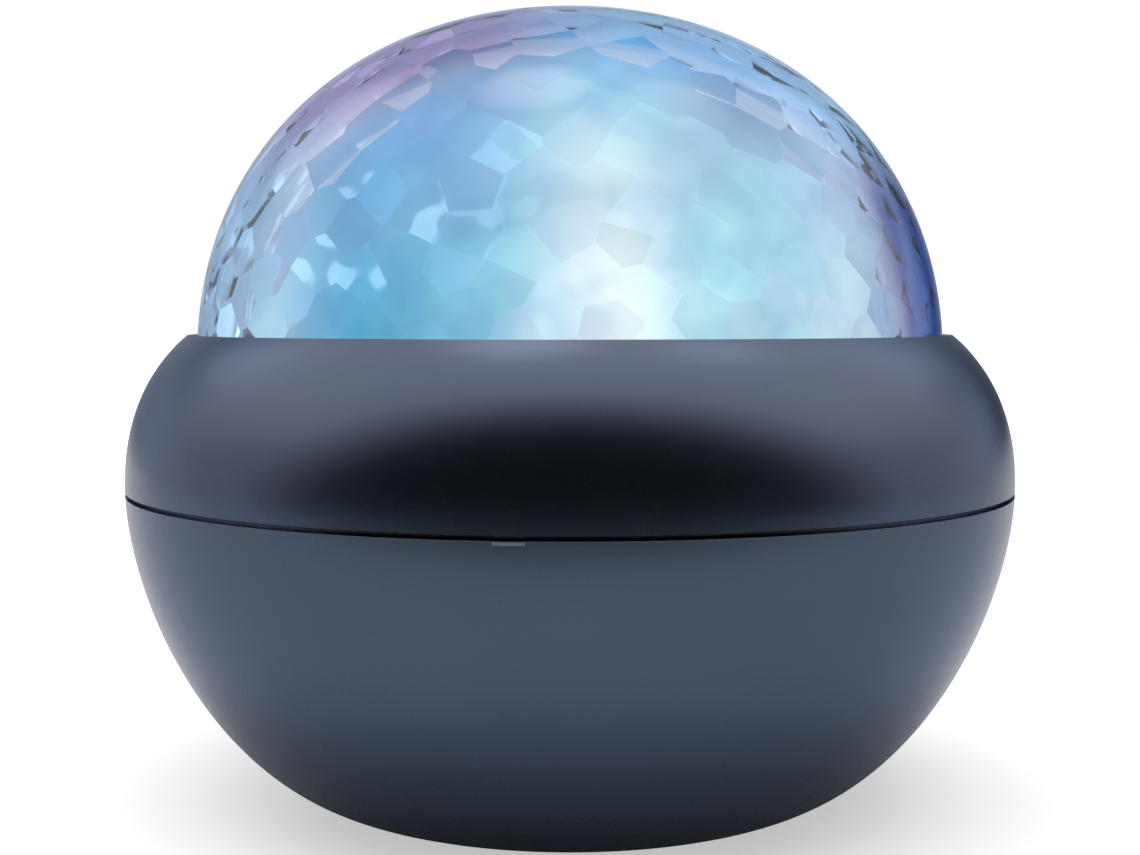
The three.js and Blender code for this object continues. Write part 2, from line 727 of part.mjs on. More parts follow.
function battery() {
  const half = { x: batteryLength / 2, y: batteryWidth / 2 };
  const outline = new THREE.Shape();
  const round = batteryRound;
  outline.absarc(half.y - round, batteryHeight - round, round, 0, Math.PI / 2);
  outline.absarc(round - half.y, batteryHeight - round, round, Math.PI / 2, Math.PI);
  outline.absarc(round - half.y, round, round, Math.PI, (3 * Math.PI) / 2);
  outline.absarc(half.y - round, round, round, (3 * Math.PI) / 2, 2 * Math.PI);
  const shape = new THREE.ExtrudeGeometry(outline, {
    depth: batteryLength,
    bevelEnabled: false,
    curveSegments: 3,
  });
  shape.rotateX(Math.PI / 2);
  shape.rotateZ(Math.PI / 2);
  shape.translate(-half.x, 0, bowlFloor + seat);
  return piece("battery", "battery", solid(shape));
}

function footPads() {
  const top = footStand + footRecess - seat;
  const edge = footRound;
  const points = [at(0, 0), at(footRadius - edge, 0), at(footRadius, edge)];
  points.push(at(footRadius, top), at(0, top));
  return corners.map(([x, y], i) =>
    piece(`foot_pad_${i + 1}`, "rubber", turned(points, smallSides), [x * casePost, y * casePost, 0]),
  );
}

function caseScrews() {
  return corners.map(([x, y], i) =>
    piece(`case_screw_${i + 1}`, "steel", screwSolid(caseScrew), [
      x * casePost,
      y * casePost,
      wellTop - seat,
    ]),
  );
}

// Motor and gearbox, held to the deck by two ears.
const motorScrewSeat = gearboxTop - motorEarThickness;
const motorScrewPlaces = [
  [driveCentre, motorEarReach],
  [driveCentre, -motorEarReach],
];

function gearbox() {
  const drum = rod(gearboxRadius, gearboxBottom, gearboxTop, driveCentre, 0);
  const collarTop = gearboxTop + motorBearingHeight;
  const collar = rod(motorBearingRadius, gearboxTop - seat, collarTop, driveCentre, 0);
  const ears = motorScrewPlaces.map(([x, y]) => rod(motorEarRadius, motorScrewSeat, gearboxTop, x, y));
  const strap = block(
    [driveCentre - motorEarRadius, -motorEarReach, motorScrewSeat],
    [driveCentre + motorEarRadius, motorEarReach, gearboxTop],
  );
  const hole = rod(shaftRadius + threadGap, shaftFoot - seat, gearboxTop + 2 * overrun, driveCentre, 0);
  const earHoles = motorScrewPlaces.map(([x, y]) => pilot(smallScrew, motorScrewSeat, x, y));
  return piece("gearbox", "greyPlastic", cut(joined(drum, collar, ...ears, strap), hole, ...earHoles));
}

function motorCan() {
  const edge = motorRound;
  const points = [
    at(0, motorBottom),
    at(motorRadius - edge, motorBottom),
    at(motorRadius, motorBottom + edge),
    at(motorRadius, motorTop),
    at(0, motorTop),
  ];
  return piece("motor_can", "steel", turned(points, smallSides), [driveCentre, 0, 0]);
}

function motorScrews() {
  return motorScrewPlaces.map(([x, y], i) =>
    piece(`motor_screw_${i + 1}`, "steel", screwSolid(smallScrew), [x, y, motorScrewSeat - seat]),
  );
}

// Light board and its four coloured lights
const ledScrewPlaces = [
  [ledScrewRing, 0],
  [-ledScrewRing, 0],
];

function lights() {
  const board = rod(ledBoardRadius, ledBoardBottom, ledBoardTop, 0, 0, smallSides);
  const holes = ledScrewPlaces.map(([x, y]) => downwardPilot(ledBoardTop, x, y));
  const low = ledBoardTop + seat;
  const high = low + ledHeight;
  const names = ["red", "green", "blue", "white"];
  const made = corners.map(([x, y], i) => {
    const half = ledWidth / 2;
    const middle = [x * ledPitch, y * ledPitch];
    const base = block(
      [middle[0] - half, middle[1] - half, low],
      [middle[0] + half, middle[1] + half, high],
    );
    const lens = rod(ledLensRadius, high - ledHeight / 2, high + ledHeight / 2, ...middle, screwSides);
    return piece(`led_${names[i]}`, `${names[i]}Light`, joined(base, lens));
  });
  const screws = ledScrewPlaces.map(([x, y], i) =>
    piece(`led_screw_${i + 1}`, "steel", screwSolid(smallScrew), [x, y, ledBoardTop + seat], upsideDown),
  );
  return [piece("led_board", "boardWhite", cut(board, ...holes)), ...made, ...screws];
}

// White tray over the works: a cup round the lights and a flat floor for the diffuser.
function tray() {
  const cupFoot = ledBoardTop - cupDrop;
  const under = [at(cupRadius + trayThickness, cupFoot), at(cupTopRadius + trayThickness, trayBottom)];
  const rim = [at(trayRadius, trayBottom), at(trayRadius, trayTop)];
  const ribInner = diffuserRadius + seat;
  const rib = [at(ribInner + diffuserRib, trayTop), at(ribInner + diffuserRib, trayTop + diffuserRib)];
  rib.push(at(ribInner, trayTop + diffuserRib), at(ribInner, trayTop));
  const over = [at(cupTopRadius, trayTop), at(cupRadius, cupFoot)];
  const holes = trayPostPlaces.map(([x, y]) => downwardPilot(trayTop, x, y));
  const plain = turned([...under, ...rim, ...rib, ...over]);
  return piece("reflector_tray", "whitePlastic", cut(plain, ...holes));
}

function trayScrews() {
  return trayPostPlaces.map(([x, y], i) =>
    piece(`tray_screw_${i + 1}`, "steel", screwSolid(smallScrew), [x, y, trayTop + seat], upsideDown),
  );
}

// Milky cap that mixes the colours of the lights.
function diffuser() {
  const rise = diffuserHeight - diffuserFootHeight;
  const springing = diffuserBottom + diffuserFootHeight;
  const skin = (inset) => {
    const points = [at(diffuserRadius - inset, diffuserBottom)];
    for (let i = 0; i <= diffuserSteps; i++) {
      const turn = ((Math.PI / 2) * i) / diffuserSteps;
      const radius = (diffuserRadius - inset) * Math.cos(turn) ** (2 / diffuserRoundness);
      const level = springing + (rise - inset) * Math.sin(turn) ** (2 / diffuserRoundness);
      points.push(at(i === diffuserSteps ? 0 : radius, level));
    }
    return points;
  };
  const outline = [...skin(0).reverse(), ...skin(diffuserWall)];
  return piece("light_diffuser", "milkyPlastic", turned(outline, diffuserSides));
}

// Control board with its socket, switches, chip and lead plugs
function controlBoard() {
  const tab = buttonSpacing - flangeReach - boardMargin;
  const slab = joined(
    block([-boardHalfWidth, boardFront, boardBottom], [boardHalfWidth, switchFace, boardTop]),
    block([-tab, boardFront, boardBottom], [tab, boardBack, boardTop]),
  );
  const round = rod(boardRound, boardBottom - overrun, boardTop + overrun, 0, 0, roundSides);
  const holes = boardPosts.map(([x, y]) => downwardPilot(boardTop, x, y));
  return piece("control_board", "boardGreen", cut(slab.intersect(round), ...holes));
}

function boardScrews() {
  return boardPosts.map(([x, y], i) =>
    piece(`board_screw_${i + 1}`, "steel", screwSolid(smallScrew), [x, y, boardTop + seat], upsideDown),
  );
}

function chargingSocket() {
  const back = socketMouth - socketLength;
  const can = slotAlongY(socketWidth, socketHeight, back, socketMouth, 0, panelLevel);
  const width = socketWidth - 2 * socketWall;
  const height = socketHeight - 2 * socketWall;
  const hollow = slotAlongY(width, height, back + socketOverhang, socketMouth + overrun, 0, panelLevel);
  const half = (width - height) / 2;
  const tongue = block(
    [-half, back + socketWall, panelLevel - socketTongue / 2],
    [half, socketMouth - socketTongue, panelLevel + socketTongue / 2],
  );
  return piece("charging_socket", "steel", joined(cut(can, hollow), tongue));
}

function chip() {
  const front = plugY + plugDepth / 2 + boardMargin;
  const low = boardTop + seat;
  return piece(
    "driver_chip",
    "darkPlastic",
    block([-chipWidth / 2, front, low], [chipWidth / 2, front + chipDepth / 2, low + chipHeight]),
  );
}

function leadPlug(name, x) {
  const half = { x: plugWidth / 2, y: plugDepth / 2 };
  return piece(
    name,
    "whitePlastic",
    block([x - half.x, plugY - half.y, boardTop + seat], [x + half.x, plugY + half.y, plugLevel]),
  );
}

function sideSwitch(name, x) {
  const half = switchWidth / 2;
  const body = block(
    [x - half, switchFace - switchDepth, boardTop + seat],
    [x + half, switchFace, boardTop + seat + switchHeight],
  );
  const bore = rodAlongY(
    plungerRadius + threadGap,
    switchFace - plungerIn - buttonTravel - seat,
    switchFace + overrun,
    x,
    switchLevel,
    screwSides,
  );
  return piece(name, "darkPlastic", cut(body, bore));
}

function plunger(name, x) {
  const made = rodAlongY(plungerRadius, switchFace - plungerIn, plungerTip, x, switchLevel, screwSides);
  return piece(name, "greyPlastic", made);
}

function button(name, x) {
  const points = [
    at(0, buttonStemEnd),
    at(buttonStemRadius, buttonStemEnd),
    at(buttonStemRadius, buttonFlangeBack),
    at(flangeReach, buttonFlangeBack),
    at(flangeReach, buttonFlangeFront),
    at(buttonRadius, buttonFlangeFront),
    at(buttonRadius, buttonFace - buttonRound),
    at(buttonRadius - buttonRound, buttonFace),
    at(0, buttonFace),
  ];
  return piece(name, "greyPlastic", turnedAlongY(points, x, panelLevel));
}

// Leads: round two-core leads that run from plug to motor, lights and battery.
function lead(name, route) {
  const curve = new THREE.CatmullRomCurve3(route.map((place) => new THREE.Vector3(...place)));
  const section = new THREE.Shape();
  section.absarc(0, 0, leadRadius, 0, 2 * Math.PI);
  const shape = new THREE.ExtrudeGeometry(section, {
    steps: leadSteps,
    curveSegments: leadSides / 2,
    extrudePath: curve,
    bevelEnabled: false,
  });
  return piece(name, "lead", solid(shape));
}

function leads() {
  const start = plugLevel + seat;
  const run = deckBottom - leadUnderDeck;
  const batteryMiddle = bowlFloor + seat + batteryHeight / 2;
  const batteryEnd = batteryLength / 2 + cradleGap + cradleWall;
  const motorMiddle = motorBottom + motorHeight / 4;
  const motorSide = motorRadius + seat;
  return [
    lead("led_lead", [
      [0, plugY, start],
      [0, plugY, start + leadRise],
      [0, plugY - leadBend, run],
      [0, ledLeadY + leadBend, run],
      [0, ledLeadY, deckBottom],
      [0, ledLeadY, deckTop],
    ]),
    lead("motor_lead", [
      [plugPitch, plugY, start],
      [plugPitch, plugY, start + leadRise],
      [(plugPitch + driveCentre) / 2, plugY - leadBend / 2, start + leadRise],
      [driveCentre - leadBend / 2, (plugY + motorSide) / 2 + leadBend / 2, (start + motorMiddle) / 2],
      [driveCentre, motorSide + leadBend, motorMiddle],
      [driveCentre, motorSide, motorMiddle],
    ]),
    lead("battery_lead", [
      [-plugPitch, plugY, start],
      [-plugPitch, plugY, start + leadRise],
      [-casePost, plugY - leadBend / 2, start],
      [-batteryEnd - leadBend, casePost + leadBend, (start + batteryMiddle) / 2],
      [-batteryEnd - leadBend, leadBend, batteryMiddle + leadBend / 2],
      [-batteryEnd - leadBend / 2, batteryWidth / 4, batteryMiddle],
      [-batteryLength / 2 - seat, batteryWidth / 4, batteryMiddle],
    ]),
  ];
}

// The lamp, as it comes apart: still parts, turntable, pinion and the two buttons
const still = new THREE.Group();
still.add(
  lowerBowl(),
  upperShell(),
  deck(),
  slideRing(),
  tray(),
  diffuser(),
  ...lights(),
  gearbox(),
  motorCan(),
  battery(),
  controlBoard(),
  chargingSocket(),
  chip(),
  sideSwitch("light_switch", -buttonSpacing),
  sideSwitch("turn_switch", buttonSpacing),
  leadPlug("led_plug", 0),
  leadPlug("motor_plug", plugPitch),
  leadPlug("battery_plug", -plugPitch),
  ...leads(),
  ...footPads(),
  ...caseScrews(),
  ...deckScrews(),
  ...trayScrews(),
  ...motorScrews(),
  ...boardScrews(),
);

const turntable = new THREE.Group();
turntable.add(crystalDome(), ringGear(), ...domeScrews());

const pinion = new THREE.Group();
pinion.position.x = driveCentre;
pinion.add(drivePinion(), motorShaft());

const lightButton = new THREE.Group();
lightButton.add(
  button("light_button", -buttonSpacing),
  plunger("light_plunger", -buttonSpacing),
);

const turnButton = new THREE.Group();
turnButton.add(
  button("turn_button", buttonSpacing),
  plunger("turn_plunger", buttonSpacing),
);

const lamp = new THREE.Group();
lamp.add(still, turntable, pinion, lightButton, turnButton);

export default lamp;
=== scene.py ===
# Crystal night light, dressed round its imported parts. Metres, +Z up, and the front faces -Y.
import math
import random

import bpy
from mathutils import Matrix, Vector


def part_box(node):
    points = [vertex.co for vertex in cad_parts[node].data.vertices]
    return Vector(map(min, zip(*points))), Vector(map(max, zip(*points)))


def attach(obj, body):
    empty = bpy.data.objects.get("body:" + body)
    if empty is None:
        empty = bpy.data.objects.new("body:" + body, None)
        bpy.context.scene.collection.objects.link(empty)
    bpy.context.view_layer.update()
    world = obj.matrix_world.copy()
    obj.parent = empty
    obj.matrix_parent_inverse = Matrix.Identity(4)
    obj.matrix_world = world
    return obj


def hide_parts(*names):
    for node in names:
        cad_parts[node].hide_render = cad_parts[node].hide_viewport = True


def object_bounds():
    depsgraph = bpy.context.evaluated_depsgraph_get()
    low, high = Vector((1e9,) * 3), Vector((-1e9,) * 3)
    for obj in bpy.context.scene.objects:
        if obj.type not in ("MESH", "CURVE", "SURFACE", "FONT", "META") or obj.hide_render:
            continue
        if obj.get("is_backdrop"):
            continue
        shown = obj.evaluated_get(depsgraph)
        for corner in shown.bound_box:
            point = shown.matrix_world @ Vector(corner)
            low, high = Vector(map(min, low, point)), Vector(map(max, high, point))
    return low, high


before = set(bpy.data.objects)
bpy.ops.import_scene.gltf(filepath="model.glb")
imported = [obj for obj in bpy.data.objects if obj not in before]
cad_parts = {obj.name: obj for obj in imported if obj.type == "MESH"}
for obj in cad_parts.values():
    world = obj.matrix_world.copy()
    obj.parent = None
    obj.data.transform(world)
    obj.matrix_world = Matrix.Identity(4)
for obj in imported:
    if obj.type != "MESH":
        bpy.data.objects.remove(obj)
cad_low, cad_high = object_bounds()
mm = 0.001


# Camera. It stands close to the lamp, a little above the body's widest line, and looks slightly
# down, so that the dome fills the upper third of the picture and the feet stay hidden.
camera_place = (0, -236 * mm, 66.3 * mm)
camera_pitch = math.radians(3.8)
picture_width = 1140
lens_in_pixels = 1702

camera_data = bpy.data.cameras.new("camera")
camera_data.sensor_width = 36
camera_data.lens = lens_in_pixels / picture_width * camera_data.sensor_width
camera_data.clip_start = 0.01
camera = bpy.data.objects.new("camera", camera_data)
camera.location = camera_place
camera.rotation_euler = (math.pi / 2 - camera_pitch, 0, 0)
bpy.context.scene.collection.objects.link(camera)
bpy.context.scene.camera = camera
bpy.context.scene.view_settings.view_transform = "Standard"


# Floor. A pale sheet of board that the lamp stands on. It shows as white to the camera and
# through glass and keeps the lamp's soft shadow, and in gloss it ends in the dark front of the room.
floor_size = 6
floor_colour = (0.75, 0.75, 0.76, 1)
floor_dullness = 0.9
seen_lift = (0.5, 1)  # light added to what is seen, near the lamp and far off
seen_fade = (0.15, 0.9)  # distances from the lamp where that change starts and ends
gloss_lift = (0, 0.42)  # the same for what gloss shows, which is dark under the lamp
gloss_fade = (0.045, 0.08)
front_end = (-0.34, -0.1)  # where the board is lost in the dark, and where it is fully lit
floor_drop = 0.03 * mm  # below the soles, so that the two never lie in one plane


def deselect():
    """Leaves nothing selected, so that the next operator acts on one new piece."""
    bpy.ops.object.select_all(action="DESELECT")


def new_material(name, **values):
    """A material, with its node tree and its shader, whose plain values are set by name."""
    material = bpy.data.materials.new(name)
    material.use_nodes = True
    shader = material.node_tree.nodes["Principled BSDF"]
    for key, value in values.items():
        shader.inputs[key.replace("_", " ")].default_value = value
    return material, material.node_tree, shader


def node(tree, kind, **values):
    """A node of that kind, with its own settings and its inputs set by name."""
    made = tree.nodes.new(kind)
    for key, value in values.items():
        if hasattr(made, key):
            setattr(made, key, value)
        else:
            made.inputs[key.replace("_", " ")].default_value = value
    return made


def put(tree, value, socket):
    """Sets a socket to a plain value, or links it to another node's output."""
    if isinstance(value, bpy.types.NodeSocket):
        tree.links.new(value, socket)
    else:
        socket.default_value = value


def worked(tree, operation, first, second):
    """The sum, product, or whatever the operation says, of two values."""
    made = node(tree, "ShaderNodeMath", operation=operation)
    put(tree, first, made.inputs[0])
    put(tree, second, made.inputs[1])
    return made.outputs[0]


def eased(tree, value, between, levels=(0, 1)):
    """A smooth change from one level to another while the value passes between two marks."""
    made = node(tree, "ShaderNodeMapRange", interpolation_type="SMOOTHSTEP")
    put(tree, value, made.inputs["Value"])
    made.inputs["From Min"].default_value, made.inputs["From Max"].default_value = between
    made.inputs["To Min"].default_value, made.inputs["To Max"].default_value = levels
    return made.outputs["Result"]


def left_over(tree, share):
    """What a share leaves of 1."""
    return worked(tree, "SUBTRACT", 1, share)


def seen_ray(tree, rays):
    """1 for a ray that comes to the camera straight or through glass."""
    return worked(tree, "MAXIMUM", rays["Is Camera Ray"], rays["Is Transmission Ray"])


def mirrored_ray(tree, rays):
    """1 for a ray thrown back by gloss, and 0 for one that has gone through glass."""
    return worked(tree, "MULTIPLY", rays["Is Glossy Ray"], left_over(tree, rays["Is Transmission Ray"]))


def blended(tree, share, first, second, blend="MIX"):
    """A colour mixed from two, by a share that may be a mask."""
    made = node(tree, "ShaderNodeMix", data_type="RGBA", blend_type=blend)
    for value, name in ((share, "Factor"), (first, "A"), (second, "B")):
        put(tree, value, made.inputs[name])
    return made.outputs["Result"]


deselect()
bpy.ops.mesh.primitive_plane_add(size=floor_size, location=(0, 0, -floor_drop))
floor = bpy.context.object
bpy.ops.object.transform_apply(location=True, rotation=True, scale=True)
floor.name = "floor"
board, tree, shader = new_material(
    "floor_board", Roughness=floor_dullness, Specular_IOR_Level=0, Emission_Color=(1, 1, 1, 1),
)
rays = node(tree, "ShaderNodeLightPath").outputs
spot = node(tree, "ShaderNodeTexCoord").outputs["Object"]
axes = node(tree, "ShaderNodeSeparateXYZ")
tree.links.new(spot, axes.inputs[0])
length = node(tree, "ShaderNodeVectorMath", operation="LENGTH")
tree.links.new(spot, length.inputs[0])
distance = length.outputs["Value"]
lit = eased(tree, axes.outputs["Y"], front_end)
seen = worked(tree, "MULTIPLY", seen_ray(tree, rays), eased(tree, distance, seen_fade, seen_lift))
mirrored = mirrored_ray(tree, rays)
gloss = worked(tree, "MULTIPLY", mirrored, lit)
gloss = worked(tree, "MULTIPLY", gloss, eased(tree, distance, gloss_fade, gloss_lift))
put(tree, worked(tree, "ADD", seen, gloss), shader.inputs["Emission Strength"])
lost = worked(tree, "MULTIPLY", mirrored, left_over(tree, lit))
put(tree, blended(tree, lost, floor_colour, (0, 0, 0, 1)), shader.inputs["Base Color"])
floor.data.materials.append(board)
floor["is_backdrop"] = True


# Studio light. A pale room, dark only at the end behind the camera, which the lacquer shows as
# one dark band. It brightens towards its ceiling, and gloss shows four soft bright patches in it.
# Two soft boxes light the lamp, from above and from behind on the left, and gloss doesn't show them.
room_light = 0.4
room_tint = (1, 0.86, 0.86, 1)  # of what gloss shows of the room
back_tint = (0.72, 0.86, 1.08, 1)  # of what gloss shows of its back wall
back_start = (0.3, 0.75)  # how far a ray faces the back wall where that tint starts and ends
room_in_gloss = (1.1, 2.1)  # low down and high up
room_rise = (0.1, 0.55)  # how far a ray faces up where that change starts and ends
dark_end = (0, 0.5)  # how far a ray faces the front where the room starts and ends to darken
dark_lean = 0.5  # how far the dark end leans away from the ceiling
dim_back = (0.55, 0.85)  # how far a ray faces the wall behind the lamp where it starts and ends to dim
dim_across = (0.15, 0.6)  # the same wall's left and right end, by how far a ray faces right
dim_loss = (0.58, 0.95)  # share of the light that is lost there
dim_above = (0.3, 0.7)  # how far a ray that also faces up faces back where it starts and ends to dim
dim_height = (0.08, 0.4)  # how far such a ray faces up, from no loss to all of it
above_loss = 0.78
bright_patches = [
    ((-0.12, 0.10, 0.99), (0.972, 0.999), 2.6),
    ((0.36, 0.10, 0.93), (0.975, 0.999), 1.4),
    ((-0.62, 0.50, 0.60), (0.96, 0.995), 0.8),
    ((0.60, 0.55, 0.58), (0.955, 0.995), 0.7),
]  # direction, how close a ray comes to it at the patch's edge and middle, and strength
soft_boxes = [
    ((0, -0.2, 0.9), 1, 6.5),
    ((-0.6, 0.66, 0.45), 0.5, 1.6),
]  # place, size and power
lamp_middle = Vector((0, 0, 0.05))

room = bpy.data.worlds.new("room")
bpy.context.scene.world = room
room.use_nodes = True
tree = room.node_tree
background = tree.nodes["Background"]
direction = node(tree, "ShaderNodeTexCoord").outputs["Generated"]
axes = node(tree, "ShaderNodeSeparateXYZ")
put(tree, direction, axes.inputs[0])
right, back, up = axes.outputs
front = worked(tree, "ADD", back, worked(tree, "MULTIPLY", up, dark_lean))
front = worked(tree, "MULTIPLY", front, -1)
glossy = eased(tree, up, room_rise, room_in_gloss)
glossy = worked(tree, "MULTIPLY", glossy, eased(tree, front, dark_end, (1, 0)))
wall_loss = eased(tree, right, dim_across, dim_loss)
wall_loss = worked(tree, "MULTIPLY", eased(tree, back, dim_back), wall_loss)
high_loss = eased(tree, up, dim_height, (0, above_loss))
high_loss = worked(tree, "MULTIPLY", eased(tree, back, dim_above), high_loss)
lost = worked(tree, "MAXIMUM", wall_loss, high_loss)
glossy = worked(tree, "MULTIPLY", glossy, left_over(tree, lost))
for towards, (edge, middle), strength in bright_patches:
    near = node(tree, "ShaderNodeVectorMath", operation="DOT_PRODUCT")
    put(tree, direction, near.inputs[0])
    near.inputs[1].default_value = Vector(towards).normalized()
    patch = eased(tree, near.outputs["Value"], (edge, middle), (0, strength))
    glossy = worked(tree, "ADD", glossy, patch)
rays = node(tree, "ShaderNodeLightPath").outputs
plain = node(tree, "ShaderNodeMix", data_type="FLOAT", A=room_light, B=1)
put(tree, seen_ray(tree, rays), plain.inputs["Factor"])
mirrored = mirrored_ray(tree, rays)
final = node(tree, "ShaderNodeMix", data_type="FLOAT")
for value, name in ((mirrored, "Factor"), (plain.outputs["Result"], "A"), (glossy, "B")):
    put(tree, value, final.inputs[name])
put(tree, final.outputs["Result"], background.inputs["Strength"])
tint = blended(tree, eased(tree, back, back_start), room_tint, back_tint)
put(tree, blended(tree, mirrored, (1, 1, 1, 1), tint), background.inputs["Color"])
for number, (place, size, power) in enumerate(soft_boxes, 1):
    data = bpy.data.lights.new(f"soft_box_{number}", "AREA")
    data.size = size
    data.energy = power
    soft_box = bpy.data.objects.new(data.name, data)
    soft_box.location = place
    soft_box.rotation_euler = (Vector(place) - lamp_middle).to_track_quat("Z", "Y").to_euler()
    soft_box.visible_glossy = False
    soft_box.visible_transmission = False
    bpy.context.scene.collection.objects.link(soft_box)


# Lower bowl. The deep lower shell, moulded in slate plastic and lacquered satin. It holds the posts
# for the four case screws and for the control board, a cradle for the battery, the plug opening,
# two button holes, recesses for the feet, and a notch in its rim where the case is prised open.
body_radius = 60 * mm
bowl_bottom = 0.8 * mm
wall = 2.2 * mm
bowl_floor = bowl_bottom + wall
bowl_reach, bowl_depth, bowl_roundness = 29.2 * mm, 42.7 * mm, 1.72
shoulder_reach, shoulder_crown, shoulder_roundness = 24 * mm, 25.2 * mm, 2.2
widest = bowl_bottom + bowl_depth
seam_level = widest - 0.6 * mm
seam_gap = 0.5 * mm
seam_round, rim_round = 0.12 * mm, 0.03 * mm
tongue_wall = 0.9 * mm
tongue_height = 1.8 * mm
turned_sides = 160
outer_steps, inner_steps, border_steps = 44, 22, 30  # of the curves drawn on the skin


def skin_point(turn, inset=0):
    """(radius, level) on the skin, from a quarter turn down at the foot to one up at the crown."""
    reach, rise, power = shoulder_reach, shoulder_crown, shoulder_roundness
    if turn < 0:
        reach, rise, power = bowl_reach, bowl_depth, bowl_roundness
    out = max(0, math.cos(turn)) ** (2 / power)
    up = abs(math.sin(turn)) ** (2 / power) * math.copysign(1, turn)
    return body_radius - reach + (reach - inset) * out, widest + (rise - inset) * up


def skin_turn(level, inset=0):
    """The turn at which the skin reaches a level."""
    rise, power = bowl_depth, bowl_roundness
    if level > widest:
        rise, power = shoulder_crown, shoulder_roundness
    share = min(1, abs(level - widest) / (rise - inset))
    return math.copysign(math.asin(share ** (power / 2)), level - widest)


def skin_curve(start, end, steps, inset=0):
    """Points of the skin from one turn to another."""
    return [skin_point(start + (end - start) * i / steps, inset) for i in range(steps + 1)]


def turned(name, profile, sides=turned_sides, closed=True):
    """A piece turned on the lathe: a ring is drawn out along the profile, point by point.
    A profile that ends on the axis closes there, and a closed one meets its own start."""
    deselect()
    radius, level = profile[0]
    bpy.ops.mesh.primitive_circle_add(vertices=sides, radius=radius, location=(0, 0, level))
    piece = bpy.context.object
    piece.name = name
    bpy.ops.object.mode_set(mode="EDIT")
    for new_radius, new_level in profile[1:]:
        bpy.ops.mesh.extrude_region_move(TRANSFORM_OT_translate={"value": (0, 0, new_level - level)})
        if new_radius == 0:
            bpy.ops.mesh.merge(type="CENTER")
            break
        share = new_radius / radius
        bpy.ops.transform.resize(value=(share, share, 1), center_override=(0, 0, new_level))
        radius, level = new_radius, new_level
    bpy.ops.mesh.select_all(action="SELECT")
    bpy.ops.mesh.remove_doubles(threshold=0.001 * mm)
    bpy.ops.mesh.select_all(action="DESELECT")
    bpy.ops.mesh.select_non_manifold()
    if closed:
        bpy.ops.mesh.edge_face_add()
    bpy.ops.mesh.select_all(action="SELECT")
    bpy.ops.mesh.normals_make_consistent(inside=False)
    bpy.ops.object.mode_set(mode="OBJECT")
    bpy.ops.object.transform_apply(location=True, rotation=True, scale=True)
    return piece


def rod(radius, low, high, x=0, y=0, sides=48):
    """An upright post or drill."""
    deselect()
    middle = (x, y, (low + high) / 2)
    bpy.ops.mesh.primitive_cylinder_add(
        vertices=sides, radius=radius, depth=high - low, location=middle,
    )
    return bpy.context.object


def block(low, high, edge=0, along=None, steps=3):
    """A block between two corners, with its edges rounded: all of them, or those along one axis."""
    deselect()
    size = Vector(high) - Vector(low)
    middle = (Vector(low) + Vector(high)) / 2
    bpy.ops.mesh.primitive_cube_add(size=1, location=middle, scale=size)
    piece = bpy.context.object
    bpy.ops.object.transform_apply(location=True, rotation=True, scale=True)
    if edge:
        for line in piece.data.edges:
            ends = [piece.data.vertices[i].co for i in line.vertices]
            run = ends[1] - ends[0]
            line.select = along is None or abs(run[along]) > 0.9 * run.length
        bpy.ops.object.mode_set(mode="EDIT")
        bpy.ops.mesh.select_mode(type="EDGE")
        bpy.ops.mesh.bevel(offset=edge, segments=steps, affect="EDGES", clamp_overlap=True)
        bpy.ops.mesh.select_mode(type="VERT")
        bpy.ops.object.mode_set(mode="OBJECT")
    return piece


def combine(piece, *tools, operation="DIFFERENCE"):
    """Cuts a piece with each tool, or joins them, and takes the tools away."""
    for tool in tools:
        change = piece.modifiers.new("change", "BOOLEAN")
        change.operation = operation
        change.object = tool
        bpy.context.view_layer.objects.active = piece
        bpy.ops.object.modifier_apply(modifier=change.name)
        bpy.data.objects.remove(tool)
    return piece


def smooth(piece, degrees=30):
    """Shades a piece smooth, apart from the edges that turn by more than that angle."""
    deselect()
    piece.select_set(True)
    bpy.context.view_layer.objects.active = piece
    bpy.ops.object.shade_smooth_by_angle(angle=math.radians(degrees))


def new_group(name, inputs, outputs):
    """A node group with named sockets, and the outputs of its input node and its output node."""
    group = bpy.data.node_groups.new(name, "ShaderNodeTree")
    kinds = {"v": "NodeSocketVector", "c": "NodeSocketColor", "f": "NodeSocketFloat"}
    for direction, sockets in (("INPUT", inputs), ("OUTPUT", outputs)):
        for socket, kind in sockets:
            group.interface.new_socket(socket, in_out=direction, socket_type=kinds[kind])
    entry = group.nodes.new("NodeGroupInput").outputs
    result = group.nodes.new("NodeGroupOutput").inputs
    return group, entry, result


def noise(tree, vector, scale, detail=3, roughness=0.5):
    """A noise from 0 to 1, whose blotches are about one part in `scale` of a metre."""
    made = node(tree, "ShaderNodeTexNoise", Detail=detail, Roughness=roughness)
    put(tree, scale, made.inputs["Scale"])
    put(tree, vector, made.inputs["Vector"])
    return made.outputs["Fac"]


# Moulded plastic: its colour drifts a little, it is rubbed unevenly dull, and it has a fine grain
surface_outputs = [("Colour", "c"), ("Roughness", "f"), ("Height", "f")]
moulded_skin, entry, result = new_group(
    "moulded_skin",
    [
        ("Vector", "v"), ("Colour", "c"), ("Drift Colour", "c"),
        ("Dull", "f"), ("Dull Play", "f"), ("Grain", "f"),
    ],
    surface_outputs,
)
cloud = noise(moulded_skin, entry["Vector"], 45, detail=2)
cloud = eased(moulded_skin, cloud, (0.35, 0.65))
drifted = blended(moulded_skin, cloud, entry["Colour"], entry["Drift Colour"])
put(moulded_skin, drifted, result["Colour"])
rubbed = noise(moulded_skin, entry["Vector"], 210, detail=4, roughness=0.6)
rubbed = worked(moulded_skin, "SUBTRACT", rubbed, 0.5)
rubbed = worked(moulded_skin, "MULTIPLY", rubbed, entry["Dull Play"])
